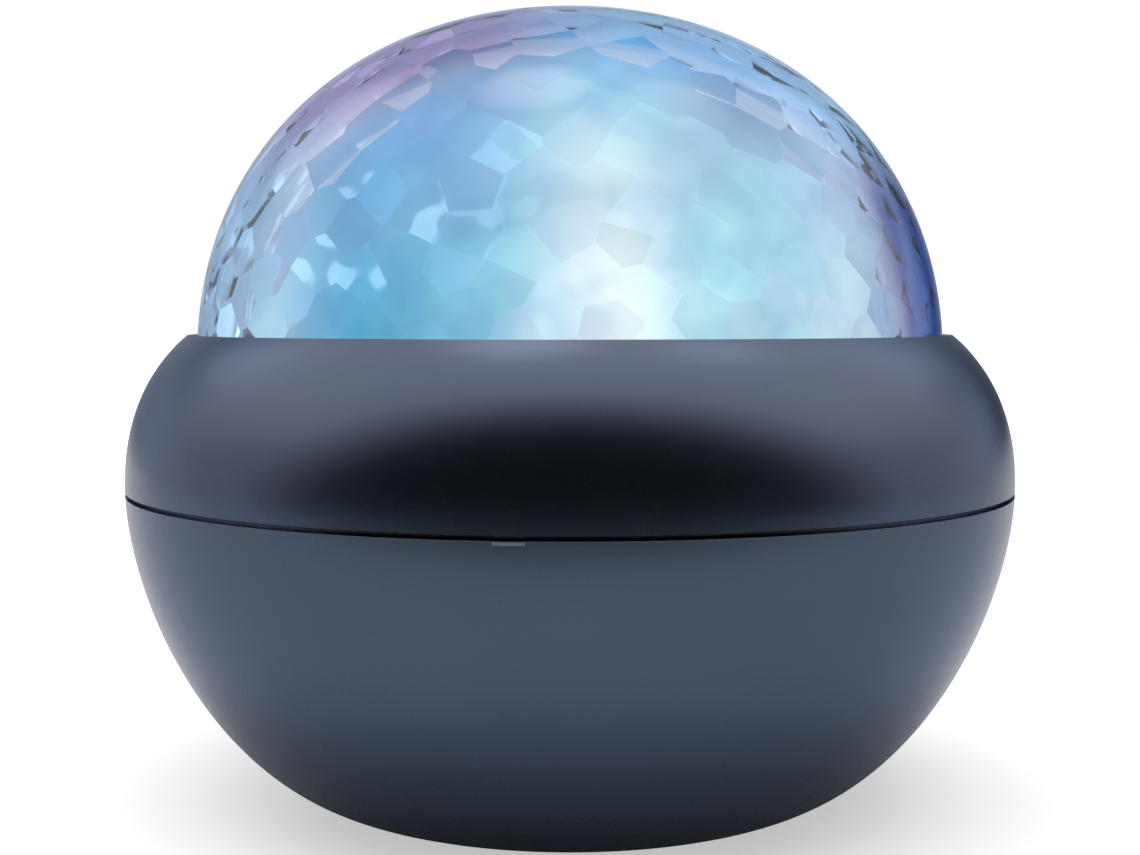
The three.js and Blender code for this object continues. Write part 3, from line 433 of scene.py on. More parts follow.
put(moulded_skin, worked(moulded_skin, "ADD", entry["Dull"], rubbed), result["Roughness"])
put(moulded_skin, noise(moulded_skin, entry["Vector"], entry["Grain"], detail=2), result["Height"])


def raised(tree, shader, height, depth):
    """Gives a shader a fine relief of that depth."""
    bump = node(tree, "ShaderNodeBump", Strength=1, Distance=depth)
    put(tree, height, bump.inputs["Height"])
    put(tree, bump.outputs["Normal"], shader.inputs["Normal"])


def surfaced(name, group, settings, depth, **values):
    """A material whose colour, dullness and relief come from a surface group with those settings."""
    material, tree, shader = new_material(name, **values)
    surface = node(tree, "ShaderNodeGroup", node_tree=group, **settings)
    put(tree, node(tree, "ShaderNodeTexCoord").outputs["Object"], surface.inputs["Vector"])
    put(tree, surface.outputs["Colour"], shader.inputs["Base Color"])
    put(tree, surface.outputs["Roughness"], shader.inputs["Roughness"])
    raised(tree, shader, surface.outputs["Height"], depth)
    return material


def moulded(name, colour, drift, dull, play=0.08, grain=2200, depth=0.01 * mm, **values):
    """A moulded plastic of that colour, which drifts to a second one."""
    settings = {
        "Colour": (*colour, 1), "Drift_Colour": (*drift, 1),
        "Dull": dull, "Dull_Play": play, "Grain": grain,
    }
    return surfaced(name, moulded_skin, settings, depth, **values)


slate = moulded(
    "satin_slate", (0.055, 0.076, 0.110), (0.057, 0.079, 0.113), 0.27, play=0.05, grain=2600,
    depth=0.0015 * mm, Metallic=0.94, Specular_Tint=(0.8, 0.82, 0.88, 1),
)

case_post = 16.9 * mm
case_posts = [(x * case_post, y * case_post) for x, y in ((1, 1), (-1, 1), (-1, -1), (1, -1))]
screw_well_radius = 3.2 * mm
well_top = 27.281 * mm
post_radius, post_top = 4.4 * mm, 30.281 * mm
foot_recess_radius, foot_recess_top = 5.5 * mm, 2 * mm
case_pilot_radius = 1.7 * mm
board_low, board_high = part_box("control_board")
board_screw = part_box("board_screw_1")
board_post_x, board_post_y = 13.5 * mm, (board_screw[0].y + board_screw[1].y) / 2
board_post_radius, board_pilot_radius = 2.8 * mm, 1.1 * mm
board_post_gap = 0.3 * mm  # from a post's top up to the board
board_pilot_depth = 5 * mm
button_low, button_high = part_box("light_button")
panel_level = (button_low.z + button_high.z) / 2
button_spacing = 13.5 * mm
button_hole_radius = 3.75 * mm
plug_opening = (13 * mm, 7.5 * mm)
surround = 1 * mm  # recessed border round the plug opening
surround_depth = 0.45 * mm
notch_place, notch_width, notch_depth = -6.5 * mm, 3.6 * mm, 0.05 * mm
notch_reach, notch_slope = 0.35 * mm, math.radians(53)  # of the sloped face at the notch's front
notch_gap = 0.2 * mm  # from the tongue out to the notch
cradle_gap, cradle_wall, cradle_height = 0.4 * mm, 1.2 * mm, 3.2 * mm
cradle_round, cradle_sink = 0.25 * mm, 0.3 * mm
past = 2 * mm  # how far a cutting tool reaches past the face that it cuts
post_gap = 0.5 * mm  # from the board's posts back to the tools that open the wall


def slot_tool(width, height, start, end):
    """A round-ended bar along Y, at the level of the buttons."""
    low = (-width / 2, start, panel_level - height / 2)
    high = (width / 2, end, panel_level + height / 2)
    return block(low, high, 0.498 * height, along=1, steps=10)


def rod_along_y(radius, start, end, x):
    """A level rod from front to back, at the level of the buttons."""
    deselect()
    bpy.ops.mesh.primitive_cylinder_add(
        vertices=64, radius=radius, depth=end - start, location=(x, (start + end) / 2, panel_level),
        rotation=(math.pi / 2, 0, 0),
    )
    bpy.ops.object.transform_apply(location=True, rotation=True, scale=True)
    return bpy.context.object


def set_down(piece, place, turn=(0, 0, 0)):
    """Puts a piece in its place, and leaves that place in its mesh."""
    piece.location = place
    piece.rotation_euler = turn
    deselect()
    piece.select_set(True)
    bpy.context.view_layer.objects.active = piece
    bpy.ops.object.transform_apply(location=True, rotation=True, scale=True)


bowl_rim = seam_level - seam_gap / 2
tongue_inside = skin_point(skin_turn(bowl_rim), wall)[0]
tongue_outside = tongue_inside + tongue_wall
rim_point = skin_point(skin_turn(bowl_rim))
outside = skin_curve(-math.pi / 2, skin_turn(bowl_rim - rim_round), outer_steps)
outside.append((rim_point[0] - rim_round, bowl_rim))
inside = skin_curve(skin_turn(bowl_rim, wall), -math.pi / 2, inner_steps, wall)
tongue_top = bowl_rim + tongue_height
tongue = [(tongue_outside, bowl_rim), (tongue_outside, tongue_top), (tongue_inside, tongue_top)]
bowl = turned("lower_bowl_skin", outside + tongue + inside[1:] + [(0, bowl_floor)])
posts = turned("posts", outside + [(0, bowl_rim)])
stands = [rod(post_radius, bowl_bottom, post_top, x, y) for x, y in case_posts]
board_posts = [(side * board_post_x, board_post_y) for side in (1, -1)]
board_post_top = board_low.z - board_post_gap
stands += [rod(board_post_radius, bowl_bottom, board_post_top, x, y) for x, y in board_posts]
stand = combine(*stands, operation="UNION")
combine(posts, stand, operation="INTERSECT")
combine(bowl, posts, operation="UNION")
for x, y in case_posts:
    combine(bowl, rod(foot_recess_radius, bowl_bottom - past, foot_recess_top, x, y))
    combine(bowl, rod(screw_well_radius, bowl_bottom - past, well_top, x, y))
    combine(bowl, rod(case_pilot_radius, well_top - past, post_top + past, x, y))
for x, y in board_posts:
    combine(bowl, rod(board_pilot_radius, board_high.z - board_pilot_depth, board_high.z, x, y))
behind = body_radius + past
before = board_post_y + board_post_radius + post_gap
border = slot_tool(plug_opening[0] + 2 * surround, plug_opening[1] + 2 * surround, before, behind)
border_floor = skin_curve(-math.pi / 2, 0, border_steps, surround_depth) + [(0, widest)]
combine(border, turned("border_floor", border_floor))
combine(bowl, border, slot_tool(*plug_opening, before, behind))
for side in (1, -1):
    combine(bowl, rod_along_y(button_hole_radius, before, behind, side * button_spacing))
notch = block(
    (notch_place - notch_width / 2, -body_radius - past, bowl_rim - notch_depth),
    (notch_place + notch_width / 2, -tongue_outside - notch_gap, bowl_rim + past),
)
notch_lip = block((-notch_width / 2, -4 * notch_reach, 0), (notch_width / 2, 0, past))
notch_turn = math.asin(notch_place / body_radius)
lip_start = Vector((math.sin(notch_turn), -math.cos(notch_turn), 0)) * (body_radius - notch_reach)
lip_start.z = bowl_rim - notch_depth
set_down(notch_lip, lip_start, turn=(notch_slope, 0, notch_turn))
combine(bowl, notch, notch_lip)
battery_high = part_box("battery")[1]
half_length = battery_high.x + cradle_gap
half_width = battery_high.y + cradle_gap
low, high = bowl_floor - cradle_sink, bowl_floor + cradle_height
for side in (1, -1):
    ends = sorted((side * half_length, side * (half_length + cradle_wall)))
    sides = sorted((side * half_width, side * (half_width + cradle_wall)))
    end_stop = block((ends[0], -half_width / 2, low), (ends[1], half_width / 2, high), cradle_round)
    side_stop = block((-half_length / 2, sides[0], low), (half_length / 2, sides[1], high), cradle_round)
    combine(bowl, end_stop, side_stop, operation="UNION")
smooth(bowl)
bowl.data.materials.clear()
bowl.data.materials.append(slate)
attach(bowl, "base")
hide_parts("lower_bowl")


# Foot pads. Four soft rubber discs pressed into the bowl's recesses, round the case screws, with a
# rounded edge and two fine grip rings under each.
foot_low, foot_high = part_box("foot_pad_1")
foot_radius = (foot_high.x - foot_low.x) / 2
foot_round = 0.5 * mm
foot_chamfer = 0.15 * mm
grip_rings = (2.2 * mm, 3.7 * mm)  # radii of the grooves
grip_groove = 0.3 * mm
round_steps = 5  # of a small rounding
small_sides = 72  # of a small turned piece

rubber = moulded(
    "soft_rubber", (0.020, 0.021, 0.023), (0.030, 0.031, 0.033), 0.78, play=0.2, grain=1500,
    depth=0.03 * mm, Specular_IOR_Level=0.3,
)


def copied(piece, name):
    """Another one of a piece, with its own mesh."""
    copy = piece.copy()
    copy.data = piece.data.copy()
    copy.name = name
    bpy.context.scene.collection.objects.link(copy)
    return copy


def finished(piece, material, body, slot, *nodes):
    """Gives a piece its finish and the body that it rides on, and hides the imported nodes that it stands
    for.
    """
    piece.data.materials.clear()
    piece.data.materials.append(material)
    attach(piece, body)
    if nodes:
        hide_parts(*nodes)


profile = []
for middle in grip_rings:
    for side, rise in ((-1, 0), (0, grip_groove), (1, 0)):
        profile.append((middle + side * grip_groove, foot_low.z + rise))
for i in range(round_steps + 1):
    turn = math.pi / 2 * i / round_steps
    profile.append((
        foot_radius - foot_round + foot_round * math.sin(turn),
        foot_low.z + foot_round * (1 - math.cos(turn)),
    ))
profile += [(foot_radius, foot_high.z - foot_chamfer), (foot_radius - foot_chamfer, foot_high.z)]
pad = turned("foot_pad_rubber_1", profile, sides=small_sides)
smooth(pad)
pads = [pad] + [copied(pad, f"foot_pad_rubber_{number}") for number in (2, 3, 4)]
for number, (pad, (x, y)) in enumerate(zip(pads, case_posts), 1):
    set_down(pad, (x, y, 0))
    finished(pad, rubber, "base", "rubber", f"foot_pad_{number}")


# Battery. A flat rechargeable cell in a blue shrink sleeve, which lies loose in its cradle.
sleeve = moulded(
    "shrink_sleeve", (0.035, 0.075, 0.20), (0.045, 0.095, 0.24), 0.34, play=0.16, grain=700,
    depth=0.05 * mm,
)


def dress(material, *names):
    """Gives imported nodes, whose shapes stay, their finish."""
    for name in names:
        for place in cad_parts[name].material_slots:
            place.material = material


dress(sleeve, "battery")


# Control board. A small green board on two posts behind the back wall, with a driver chip, two
# side switches and three plugs for the leads. It is etched with fine tracks under the green coat.
track_pitch = 330
track_relief = 0.03 * mm

printed, entry, result = new_group(
    "printed_board", [("Vector", "v"), ("Coat", "c"), ("Track", "c"), ("Pitch", "f")], surface_outputs,
)
tracks = node(
    printed, "ShaderNodeTexBrick", offset=0.37, squash=0.6, Mortar_Size=0.09, Mortar_Smooth=0.2,
)
put(printed, entry["Vector"], tracks.inputs["Vector"])
put(printed, entry["Pitch"], tracks.inputs["Scale"])
weave = noise(printed, entry["Vector"], 3200, detail=1)
shade = blended(printed, worked(printed, "MULTIPLY", weave, 0.25), entry["Coat"], entry["Track"])
put(printed, blended(printed, tracks.outputs["Fac"], shade, entry["Track"]), result["Colour"])
put(printed, eased(printed, weave, (0, 1), (0.28, 0.42)), result["Roughness"])
put(printed, tracks.outputs["Fac"], result["Height"])


def board_material(name, coat, track):
    """An etched and coated circuit board."""
    settings = {"Coat": (*coat, 1), "Track": (*track, 1), "Pitch": track_pitch}
    return surfaced(name, printed, settings, track_relief)


green_board = board_material("green_board", (0.012, 0.10, 0.035), (0.05, 0.20, 0.06))
dark_plastic = moulded(
    "dark_plastic", (0.018, 0.019, 0.022), (0.025, 0.026, 0.029), 0.45, play=0.14, grain=1700,
    depth=0.015 * mm,
)
white_plastic = moulded(
    "white_plastic", (0.78, 0.78, 0.76), (0.73, 0.73, 0.71), 0.42, play=0.1, grain=1900,
    depth=0.008 * mm,
)
dress(green_board, "control_board")
dress(dark_plastic, "driver_chip", "light_switch", "turn_switch")
dress(white_plastic, "led_plug", "motor_plug", "battery_plug")


# Charging socket. A drawn steel shell with rounded ends, soldered to the board behind the plug
# opening, with a thin black tongue inside that carries gilt contacts on both its faces.
socket_low, socket_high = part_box("charging_socket")
socket_wall = 0.35 * mm
socket_depth = 5.8 * mm
tongue_width, tongue_thickness = 6.2 * mm, 0.7 * mm
tongue_sink, tongue_setback = 0.1 * mm, 0.7 * mm  # into the shell's floor, and behind its mouth
contact_pitch, contact_width, contact_lift = 0.8 * mm, 0.34 * mm, 0.04 * mm
contact_start, contact_end = 0.2 * mm, 0.4 * mm  # from the tongue's two ends
tongue_round, contact_round = 0.12 * mm, 0.02 * mm
contacts_each_side = 7
metal_relief = 0.003 * mm

worked_metal, entry, result = new_group(
    "worked_metal",
    [("Vector", "v"), ("Colour", "c"), ("Dull Colour", "c"), ("Polish", "f"), ("Stretch", "v")],
    surface_outputs,
)
lines = node(worked_metal, "ShaderNodeVectorMath", operation="MULTIPLY")
put(worked_metal, entry["Vector"], lines.inputs[0])
put(worked_metal, entry["Stretch"], lines.inputs[1])
lines = noise(worked_metal, lines.outputs["Vector"], 1800, detail=2)
stain = eased(worked_metal, noise(worked_metal, entry["Vector"], 260, detail=4), (0.4, 0.75))
put(worked_metal, blended(worked_metal, stain, entry["Colour"], entry["Dull Colour"]), result["Colour"])
scratched = worked(worked_metal, "MULTIPLY", worked(worked_metal, "ADD", lines, stain), 0.12)
put(worked_metal, worked(worked_metal, "ADD", entry["Polish"], scratched), result["Roughness"])
put(worked_metal, lines, result["Height"])


def metal(name, colour, dull_colour, polish, stretch=(1, 1, 1)):
    """A bare metal, drawn or brushed along the axis whose stretch is small."""
    settings = {
        "Colour": (*colour, 1), "Dull_Colour": (*dull_colour, 1), "Polish": polish, "Stretch": stretch,
    }
    return surfaced(name, worked_metal, settings, metal_relief, Metallic=1)


def pick_faces(piece, chosen):
    """Opens a piece for editing with only the chosen faces selected."""
    deselect()
    piece.select_set(True)
    bpy.context.view_layer.objects.active = piece
    for part in (piece.data.vertices, piece.data.edges):
        part.foreach_set("select", [False] * len(part))
    for face in piece.data.polygons:
        face.select = chosen(face)
    bpy.ops.object.mode_set(mode="EDIT")
    bpy.ops.mesh.select_mode(type="FACE")


drawn_steel = metal("drawn_steel", (0.50, 0.50, 0.50), (0.34, 0.33, 0.32), 0.22, stretch=(1, 0.08, 1))
gilt = metal("gilt_contact", (0.83, 0.60, 0.22), (0.70, 0.45, 0.14), 0.18, stretch=(1, 0.1, 1))
socket_size = socket_high - socket_low
shell = slot_tool(socket_size.x, socket_size.z, socket_low.y, socket_high.y)
shell.name = "socket_shell"
pick_faces(shell, lambda face: face.normal.y > 0.9)
bpy.ops.mesh.inset(thickness=socket_wall)
bpy.ops.mesh.extrude_region_move(TRANSFORM_OT_translate={"value": (0, -socket_depth, 0)})
bpy.ops.object.mode_set(mode="OBJECT")
smooth(shell)
finished(shell, drawn_steel, "base", "steel", "charging_socket")
front, back = socket_high.y - socket_depth - tongue_sink, socket_high.y - tongue_setback
half_width, half_thickness = tongue_width / 2, tongue_thickness / 2
socket_tongue = block(
    (-half_width, front, panel_level - half_thickness),
    (half_width, back, panel_level + half_thickness), tongue_round,
)
socket_tongue.name = "socket_tongue"
smooth(socket_tongue)
finished(socket_tongue, dark_plastic, "base", "dark_plastic")
strips = []
heights = (half_thickness - contact_lift, half_thickness + contact_lift)
for face_side in (1, -1):
    levels = sorted(panel_level + face_side * height for height in heights)
    for i in range(contacts_each_side):
        x = (i - (contacts_each_side - 1) / 2) * contact_pitch
        strips.append(block(
            (x - contact_width / 2, front + contact_start, levels[0]),
            (x + contact_width / 2, back - contact_end, levels[1]), contact_round, steps=1,
        ))
deselect()
for strip in strips:
    strip.select_set(True)
bpy.context.view_layer.objects.active = strips[0]
bpy.ops.object.join()
contacts = strips[0]
contacts.name = "socket_contacts"
finished(contacts, gilt, "base", "steel")


# Push buttons. Two grey moulded caps beside the socket, each held in the wall by its flange, with
# a stem on its switch's plunger. The light's has a raised dot in its hollow, the turning one's a ring.
button_radius = 3.4 * mm
button_face = button_high.y
flange_reach = (button_high.x - button_low.x) / 2
flange_back, flange_front = 49.787 * mm, 50.987 * mm
stem_radius = 1.5 * mm
button_round = 0.5 * mm
dish_radius, dish_depth, dish_steps = 2.6 * mm, 0.36 * mm, 10
dot_radius, dot_height = 0.66 * mm, 0.4 * mm
dot_turns = (0, 0.4, 0.8, 1.2)  # places on the dot's curve, from its foot towards its top
ring_radius, ring_half, ring_height, ring_steps = 1.35 * mm, 0.28 * mm, 0.34 * mm, 6
hollow_middle = 0.5 * mm  # radius of the flat inside the ring

grey_plastic = moulded(
    "grey_button_plastic", (0.085, 0.095, 0.115), (0.10, 0.11, 0.13), 0.4, play=0.12, grain=2400,
    depth=0.012 * mm,
)


def button_profile(mark):
    """Outline of a cap from its stem to its face, with `mark` raised in the hollow of the face."""
    points = [(stem_radius, button_low.y), (stem_radius, flange_back)]
    points += [(flange_reach, flange_back), (flange_reach, flange_front), (button_radius, flange_front)]
    for i in range(round_steps + 1):
        turn = math.pi / 2 * i / round_steps
        points.append((
            button_radius - button_round * (1 - math.cos(turn)),
            button_face - button_round * (1 - math.sin(turn)),
        ))
    for i in range(dish_steps):
        radius = dish_radius * (1 - i / dish_steps)
        points.append((radius, button_face - dish_depth * (1 - (radius / dish_radius) ** 2)))
    return [point for point in points if point[0] > mark[0][0]] + mark


hollow = button_face - dish_depth
dot = [(dot_radius * math.cos(turn), hollow + dot_height * math.sin(turn)) for turn in dot_turns]
dot.append((0, hollow + dot_height))
ring = []
for i in range(ring_steps + 1):
    turn = math.pi * i / ring_steps
    ring.append((ring_radius + ring_half * math.cos(turn), hollow + ring_height * math.sin(turn)))
ring += [(hollow_middle, hollow), (0, hollow)]
for name, mark, body in (("light", dot, "light_button"), ("turn", ring, "turn_button")):
    button = turned(f"{name}_button_cap", button_profile(mark), sides=small_sides)
    smooth(button, 35)
    low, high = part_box(f"{name}_button")
    set_down(button, ((low.x + high.x) / 2, 0, panel_level), turn=(-math.pi / 2, 0, 0))
    finished(button, grey_plastic, body, "grey_plastic", f"{name}_button")
dress(grey_plastic, "light_plunger", "turn_plunger")


# Leads. Three pairs of thin insulated wires, twisted together, that run from the plugs on the
# board to the light board, the motor and the battery.
core_radius, core_offset = 0.48 * mm, 0.49 * mm
twist_pitch = 9 * mm
lead_steps = 12

insulation = moulded(
    "lead_insulation", (0.35, 0.03, 0.025), (0.30, 0.025, 0.02), 0.5, play=0.1, grain=1200,
)
routes = {
    "led_lead": [
        (0, 40.5, 34.2), (0, 40.5, 37.6), (0, 34.5, 46), (0, 18, 46), (0, 12, 48.2), (0, 12, 50.2),
    ],
    "motor_lead": [
        (8, 40.5, 34.2), (8, 40.5, 37.6), (22, 37.5, 37.6), (33, 28.4, 31.1), (36, 16.3, 28.1),
        (36, 10.3, 28.1),
    ],
    "battery_lead": [
        (-8, 40.5, 34.2), (-8, 40.5, 37.6), (-16.9, 37.5, 34.2), (-28.6, 22.9, 21), (-28.6, 6, 10.8),
        (-25.6, 5, 7.8), (-21.3, 5, 7.8),
    ],
}  # in millimetres


def run_through(points, steps):
    """A smooth run that passes through all the points."""
    ends = [points[0] * 2 - points[1]] + points + [points[-1] * 2 - points[-2]]
    run = []
    for before, start, end, after in zip(ends, ends[1:], ends[2:], ends[3:]):
        for i in range(steps):
            t = i / steps
            bend = (before * 2 - start * 5 + end * 4 - after) * t * t
            twist = (start * 3 - before - end * 3 + after) * t ** 3
            run.append((start * 2 + (end - before) * t + bend + twist) / 2)
    return run + [points[-1]]


for name, route in routes.items():
    run = run_through([Vector(point) * mm for point in route], lead_steps)
    wires = bpy.data.curves.new(name, "CURVE")
    wires.dimensions = "3D"
    wires.bevel_depth = core_radius
    wires.bevel_resolution = 3
    wires.use_fill_caps = True
    for half in (0, math.pi):
        wire = wires.splines.new("POLY")
        wire.points.add(len(run) - 1)
        gone = 0
        side = (run[1] - run[0]).orthogonal().normalized()
        for i, middle in enumerate(run):
            ahead = (run[min(i + 1, len(run) - 1)] - run[max(i - 1, 0)]).normalized()
            side = (side - ahead * side.dot(ahead)).normalized()
            gone += (middle - run[i - 1]).length if i else 0
            turn = 2 * math.pi * gone / twist_pitch + half
            offset = side * math.cos(turn) + ahead.cross(side) * math.sin(turn)
            wire.points[i].co = (*(middle + offset * core_offset), 1)
    lead = bpy.data.objects.new(f"{name}_wires", wires)
    bpy.context.scene.collection.objects.link(lead)
    deselect()
    lead.select_set(True)
    bpy.context.view_layer.objects.active = lead
    bpy.ops.object.convert(target="MESH")
    lead = bpy.context.object
    smooth(lead, 50)
    finished(lead, insulation, "base", "lead", name)


# Deck. A round dark plate screwed up into the shell's bosses, which carries the slide ring, the
# tray, the light board and the motor. Its four posts take the case screws from below.
dress(dark_plastic, "deck")


# Gear drive. A white motor's pinion turns the white nylon ring gear under the dome, which slides
# on a pale ring. The small motor hangs under the deck in its grey gearbox, held by two ears.
nylon = moulded("white_nylon", (0.70, 0.69, 0.64), (0.64, 0.63, 0.58), 0.36, play=0.12, grain=1400)
slide_plastic = moulded(
    "slide_plastic", (0.55, 0.56, 0.55), (0.60, 0.61, 0.60), 0.24, play=0.1, grain=1300,
    depth=0.006 * mm,
)
motor_steel = metal("motor_steel", (0.56, 0.55, 0.53), (0.44, 0.43, 0.41), 0.3, stretch=(1, 1, 0.06))
dress(nylon, "ring_gear", "drive_pinion")
dress(slide_plastic, "slide_ring")
dress(grey_plastic, "gearbox")
dress(motor_steel, "motor_can", "motor_shaft")


# Screws. All of steel with a crossed pan head: four long ones come up through the feet's wells
# into the deck's posts, and shorter ones hold the deck, dome, tray, motor and boards.
screw_steel = metal("screw_steel", (0.42, 0.42, 0.43), (0.26, 0.25, 0.25), 0.26)
thread_pitch = 0.7 * mm
thread_root = 0.8  # share of the thread's radius
cross = (0.26, 1.2)  # width and length of each arm, as shares of the head's radius
cross_depth = 0.6  # share of the head's height
head_curve = ((0.4, 1), (0.75, 0.88), (0.94, 0.62), (1, 0.3))  # shares of the head's radius and height
screw_point = 0.3  # share of the thread's radius
screw_sides = 28
small_screw = (1.7, 1.2, 0.9, 4)
screws = {
    "case_screw": ((2.8, 2, 1.5, 14), "base", 1),
    "deck_screw": ((2, 1.6, 1.1, 5.4), "base", 1),
    "board_screw": (small_screw, "base", -1),
    "motor_screw": (small_screw, "base", 1),
    "led_screw": (small_screw, "base", -1),
    "tray_screw": (small_screw, "base", -1),
    "dome_screw": ((1.4, 0.9, 0.7, 5.2), "turntable", 1),
}  # head's radius and height, thread's radius and length in millimetres, body, and way it points


def turned_screw(name, head, cap, thread, length):
    """A screw that points up, with the underside of its head at level nought."""
    profile = [(across * head, -rise * cap) for across, rise in head_curve]
    profile += [(head, 0), (thread, 0)]
    level = thread_pitch
    while level < length - thread:
        profile += [(thread * thread_root, level - thread_pitch / 2), (thread, level)]
        level += thread_pitch
    profile += [(thread * thread_root, length - thread), (screw_point * thread, length)]
    screw = turned(name, profile, sides=screw_sides)
    floor_level = -cap * (1 - cross_depth)
    for across, along in (cross, cross[::-1]):
        half = (across * head / 2, along * head / 2)
        combine(screw, block((-half[0], -half[1], -2 * cap), (*half, floor_level)))
    smooth(screw)
    return screw


for kind, (sizes, body, way) in screws.items():
    head, cap, thread, length = [size * mm for size in sizes]
    first = turned_screw(f"{kind}_turned_1", head, cap, thread, length)
    count = sum(name.startswith(kind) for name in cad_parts)
    made = [first] + [copied(first, f"{kind}_turned_{number}") for number in range(2, count + 1)]
    for number, screw in enumerate(made, 1):
        low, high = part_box(f"{kind}_{number}")
        level = low.z + cap if way > 0 else high.z - cap
        turn = (0 if way > 0 else math.pi, 0, 0)
        set_down(screw, ((low.x + high.x) / 2, (low.y + high.y) / 2, level), turn)
        finished(screw, screw_steel, body, "steel", f"{kind}_{number}")


# Lights. A white board with a red, a green, a blue and a white light in clear housings, held by two
# screws in the deck. Each shines up at the cap above, whose glow is painted into its own material.
white_board = board_material("white_board", (0.72, 0.72, 0.70), (0.62, 0.62, 0.60))
light_colours = {
    "red": (0.9, 0.10, 0.08), "green": (0.10, 0.8, 0.2),
    "blue": (0.06, 0.2, 0.95), "white": (1, 0.95, 0.8),
}
light_strength = 2
light_dimming = 0.6  # of the housing's second colour

dress(white_board, "led_board")
for name, colour in light_colours.items():
    dim = tuple(light_dimming * share for share in colour)
    housing = moulded(
        f"{name}_light_body", colour, dim, 0.2, grain=1500,
        Emission_Color=(*colour, 1), Emission_Strength=light_strength,
    )
    dress(housing, f"led_{name}")


# Reflector tray. A glossy white dish that hides the works under the dome, with a cup round the
# lights and a low rib round the glow cap.
tray_white = moulded(
    "tray_white", (0.80, 0.82, 0.84), (0.76, 0.78, 0.80), 0.24, grain=2000, depth=0.006 * mm,
)
dress(tray_white, "reflector_tray")


# Glow cap. Milky plastic over the lights. Its glow is painted light, emission set in its material in
# place of the lights' mixed colours: cyan in front, blue at the sides, and a painted warm glow low on the
# right. It stands inside the tray's rib.
cap_low, cap_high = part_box("light_diffuser")
cap_radius = cap_high.x
cap_height = cap_high.z - cap_low.z
cap_foot = 2 * mm
cap_roundness = 2.1
cap_wall = 1.4 * mm
cap_steps, cap_sides = 28, 96
cap_relief = 0.01 * mm
frost_tints = (0.10, 0.15, 0.20, 1), (0.12, 0.17, 0.22, 1)
mottle_tints = (0.86, 0.90, 0.94, 1), (1.14, 1.10, 1.06, 1)  # what the painted glow is multiplied with
painted_cap_glow = (0.02, 0.18, 0.34, 1)  # painted glow of the cap between the pools of light
pools = [
    ((0.012, -0.042, 0.067), (0.048, 0.060, 0.032), (0.85, 1.03, 0.74)),
    ((0.004, -0.043, 0.064), (0.013, 0.060, 0.034), (0.78, 0.30, 0.17)),
    ((0.003, -0.034, 0.087), (0.020, 0.060, 0.014), (0.36, 0.37, 0.20)),
    ((0.036, -0.026, 0.062), (0.014, 0.060, 0.034), (0.52, 0.38, 0.28)),
    ((-0.035, -0.025, 0.067), (0.050, 0.060, 0.032), (0.00, 0.30, 0.38)),
    ((-0.015, -0.030, 0.087), (0.022, 0.060, 0.014), (0.08, 0.22, 0.31)),
    ((0.005, -0.020, 0.097), (0.020, 0.060, 0.020), (0.00, 0.29, 0.38)),
    ((0.027, -0.028, 0.083), (0.020, 0.060, 0.013), (0.16, 0.24, 0.25)),
    ((-0.037, -0.020, 0.064), (0.014, 0.060, 0.030), (0.55, 0.35, 0.15)),
    ((0, 0.035, 0.075), (0.090, 0.062, 0.060), (0.60, 0.90, 1.00)),
]  # middle of each painted pool of light and its reach along each axis in metres, and the painted light it adds

profile = [(cap_radius, cap_low.z)]
for i in range(cap_steps):
    turn = math.pi / 2 * i / cap_steps
    profile.append((
        cap_radius * math.cos(turn) ** (2 / cap_roundness),
        cap_low.z + cap_foot + (cap_height - cap_foot) * math.sin(turn) ** (2 / cap_roundness),
    ))
profile.append((0, cap_high.z))
cap = turned("glow_cap", profile, sides=cap_sides, closed=False)
thickness = cap.modifiers.new("wall", "SOLIDIFY")
thickness.thickness = cap_wall
thickness.offset = -1
bpy.ops.object.modifier_apply(modifier=thickness.name)
smooth(cap)
# The cap's glow is painted light: emission with painted pools of light, not light that comes from the
# lights below.
milky, tree, shader = new_material("milky_glow", Specular_IOR_Level=0.1, Emission_Strength=1)
place = node(tree, "ShaderNodeTexCoord").outputs["Object"]
frosting = noise(tree, place, 900)
put(tree, blended(tree, frosting, *frost_tints), shader.inputs["Base Color"])
put(tree, eased(tree, frosting, (0, 1), (0.5, 0.7)), shader.inputs["Roughness"])
raised(tree, shader, frosting, cap_relief)
light = painted_cap_glow
for middle, reach, colour in pools:
    where = node(tree, "ShaderNodeMapping", vector_type="TEXTURE")
    where.inputs["Location"].default_value = middle
    where.inputs["Scale"].default_value = reach
    put(tree, place, where.inputs["Vector"])
    ball = node(tree, "ShaderNodeTexGradient", gradient_type="SPHERICAL")
    put(tree, where.outputs["Vector"], ball.inputs["Vector"])
    light = blended(tree, eased(tree, ball.outputs["Fac"], (0, 1)), light, (*colour, 1), "ADD")
mottle = eased(tree, noise(tree, place, 130, detail=2), (0.35, 0.65))
light = blended(tree, 1, light, blended(tree, mottle, *mottle_tints), "MULTIPLY")
put(tree, light, shader.inputs["Emission Color"])
cap.data.materials.append(milky)
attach(cap, "base")
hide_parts("light_diffuser")


# Crystal dome. Clear moulded plastic, smooth and round outside, with flat facets pressed into its
# inside. A flange round its foot sits under the shell's lip, and the dome turns with the ring gear.
dome_radius = 50.5 * mm
dome_height = 47.7 * mm
dome_roundness = 2.12
dome_thickness = 3.2 * mm
dome_skirt = 3.5 * mm
dome_steps = 48
flange_thickness = 2 * mm
flange_low, flange_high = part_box("crystal_dome")
flange_radius = flange_high.x
dome_bottom = flange_low.z
flange_top = dome_bottom + flange_thickness
dome_widest = dome_bottom + dome_skirt
facet_count = 860
facet_wander = 0.2
facet_depth = 0.035 * mm
throat_margin = 0.3 * mm  # from the facets' reach out to the skirt's inside
throat_overlap = 0.5 * mm  # of the facets' cut with the skirt's, so that no plane is shared
inside_reach, inside_start = 1.005, 0.2 * mm  # past the cavity's round, and up from its foot
glass = {"IOR": 1.49, "Transmission_Weight": 1}
seed = 7

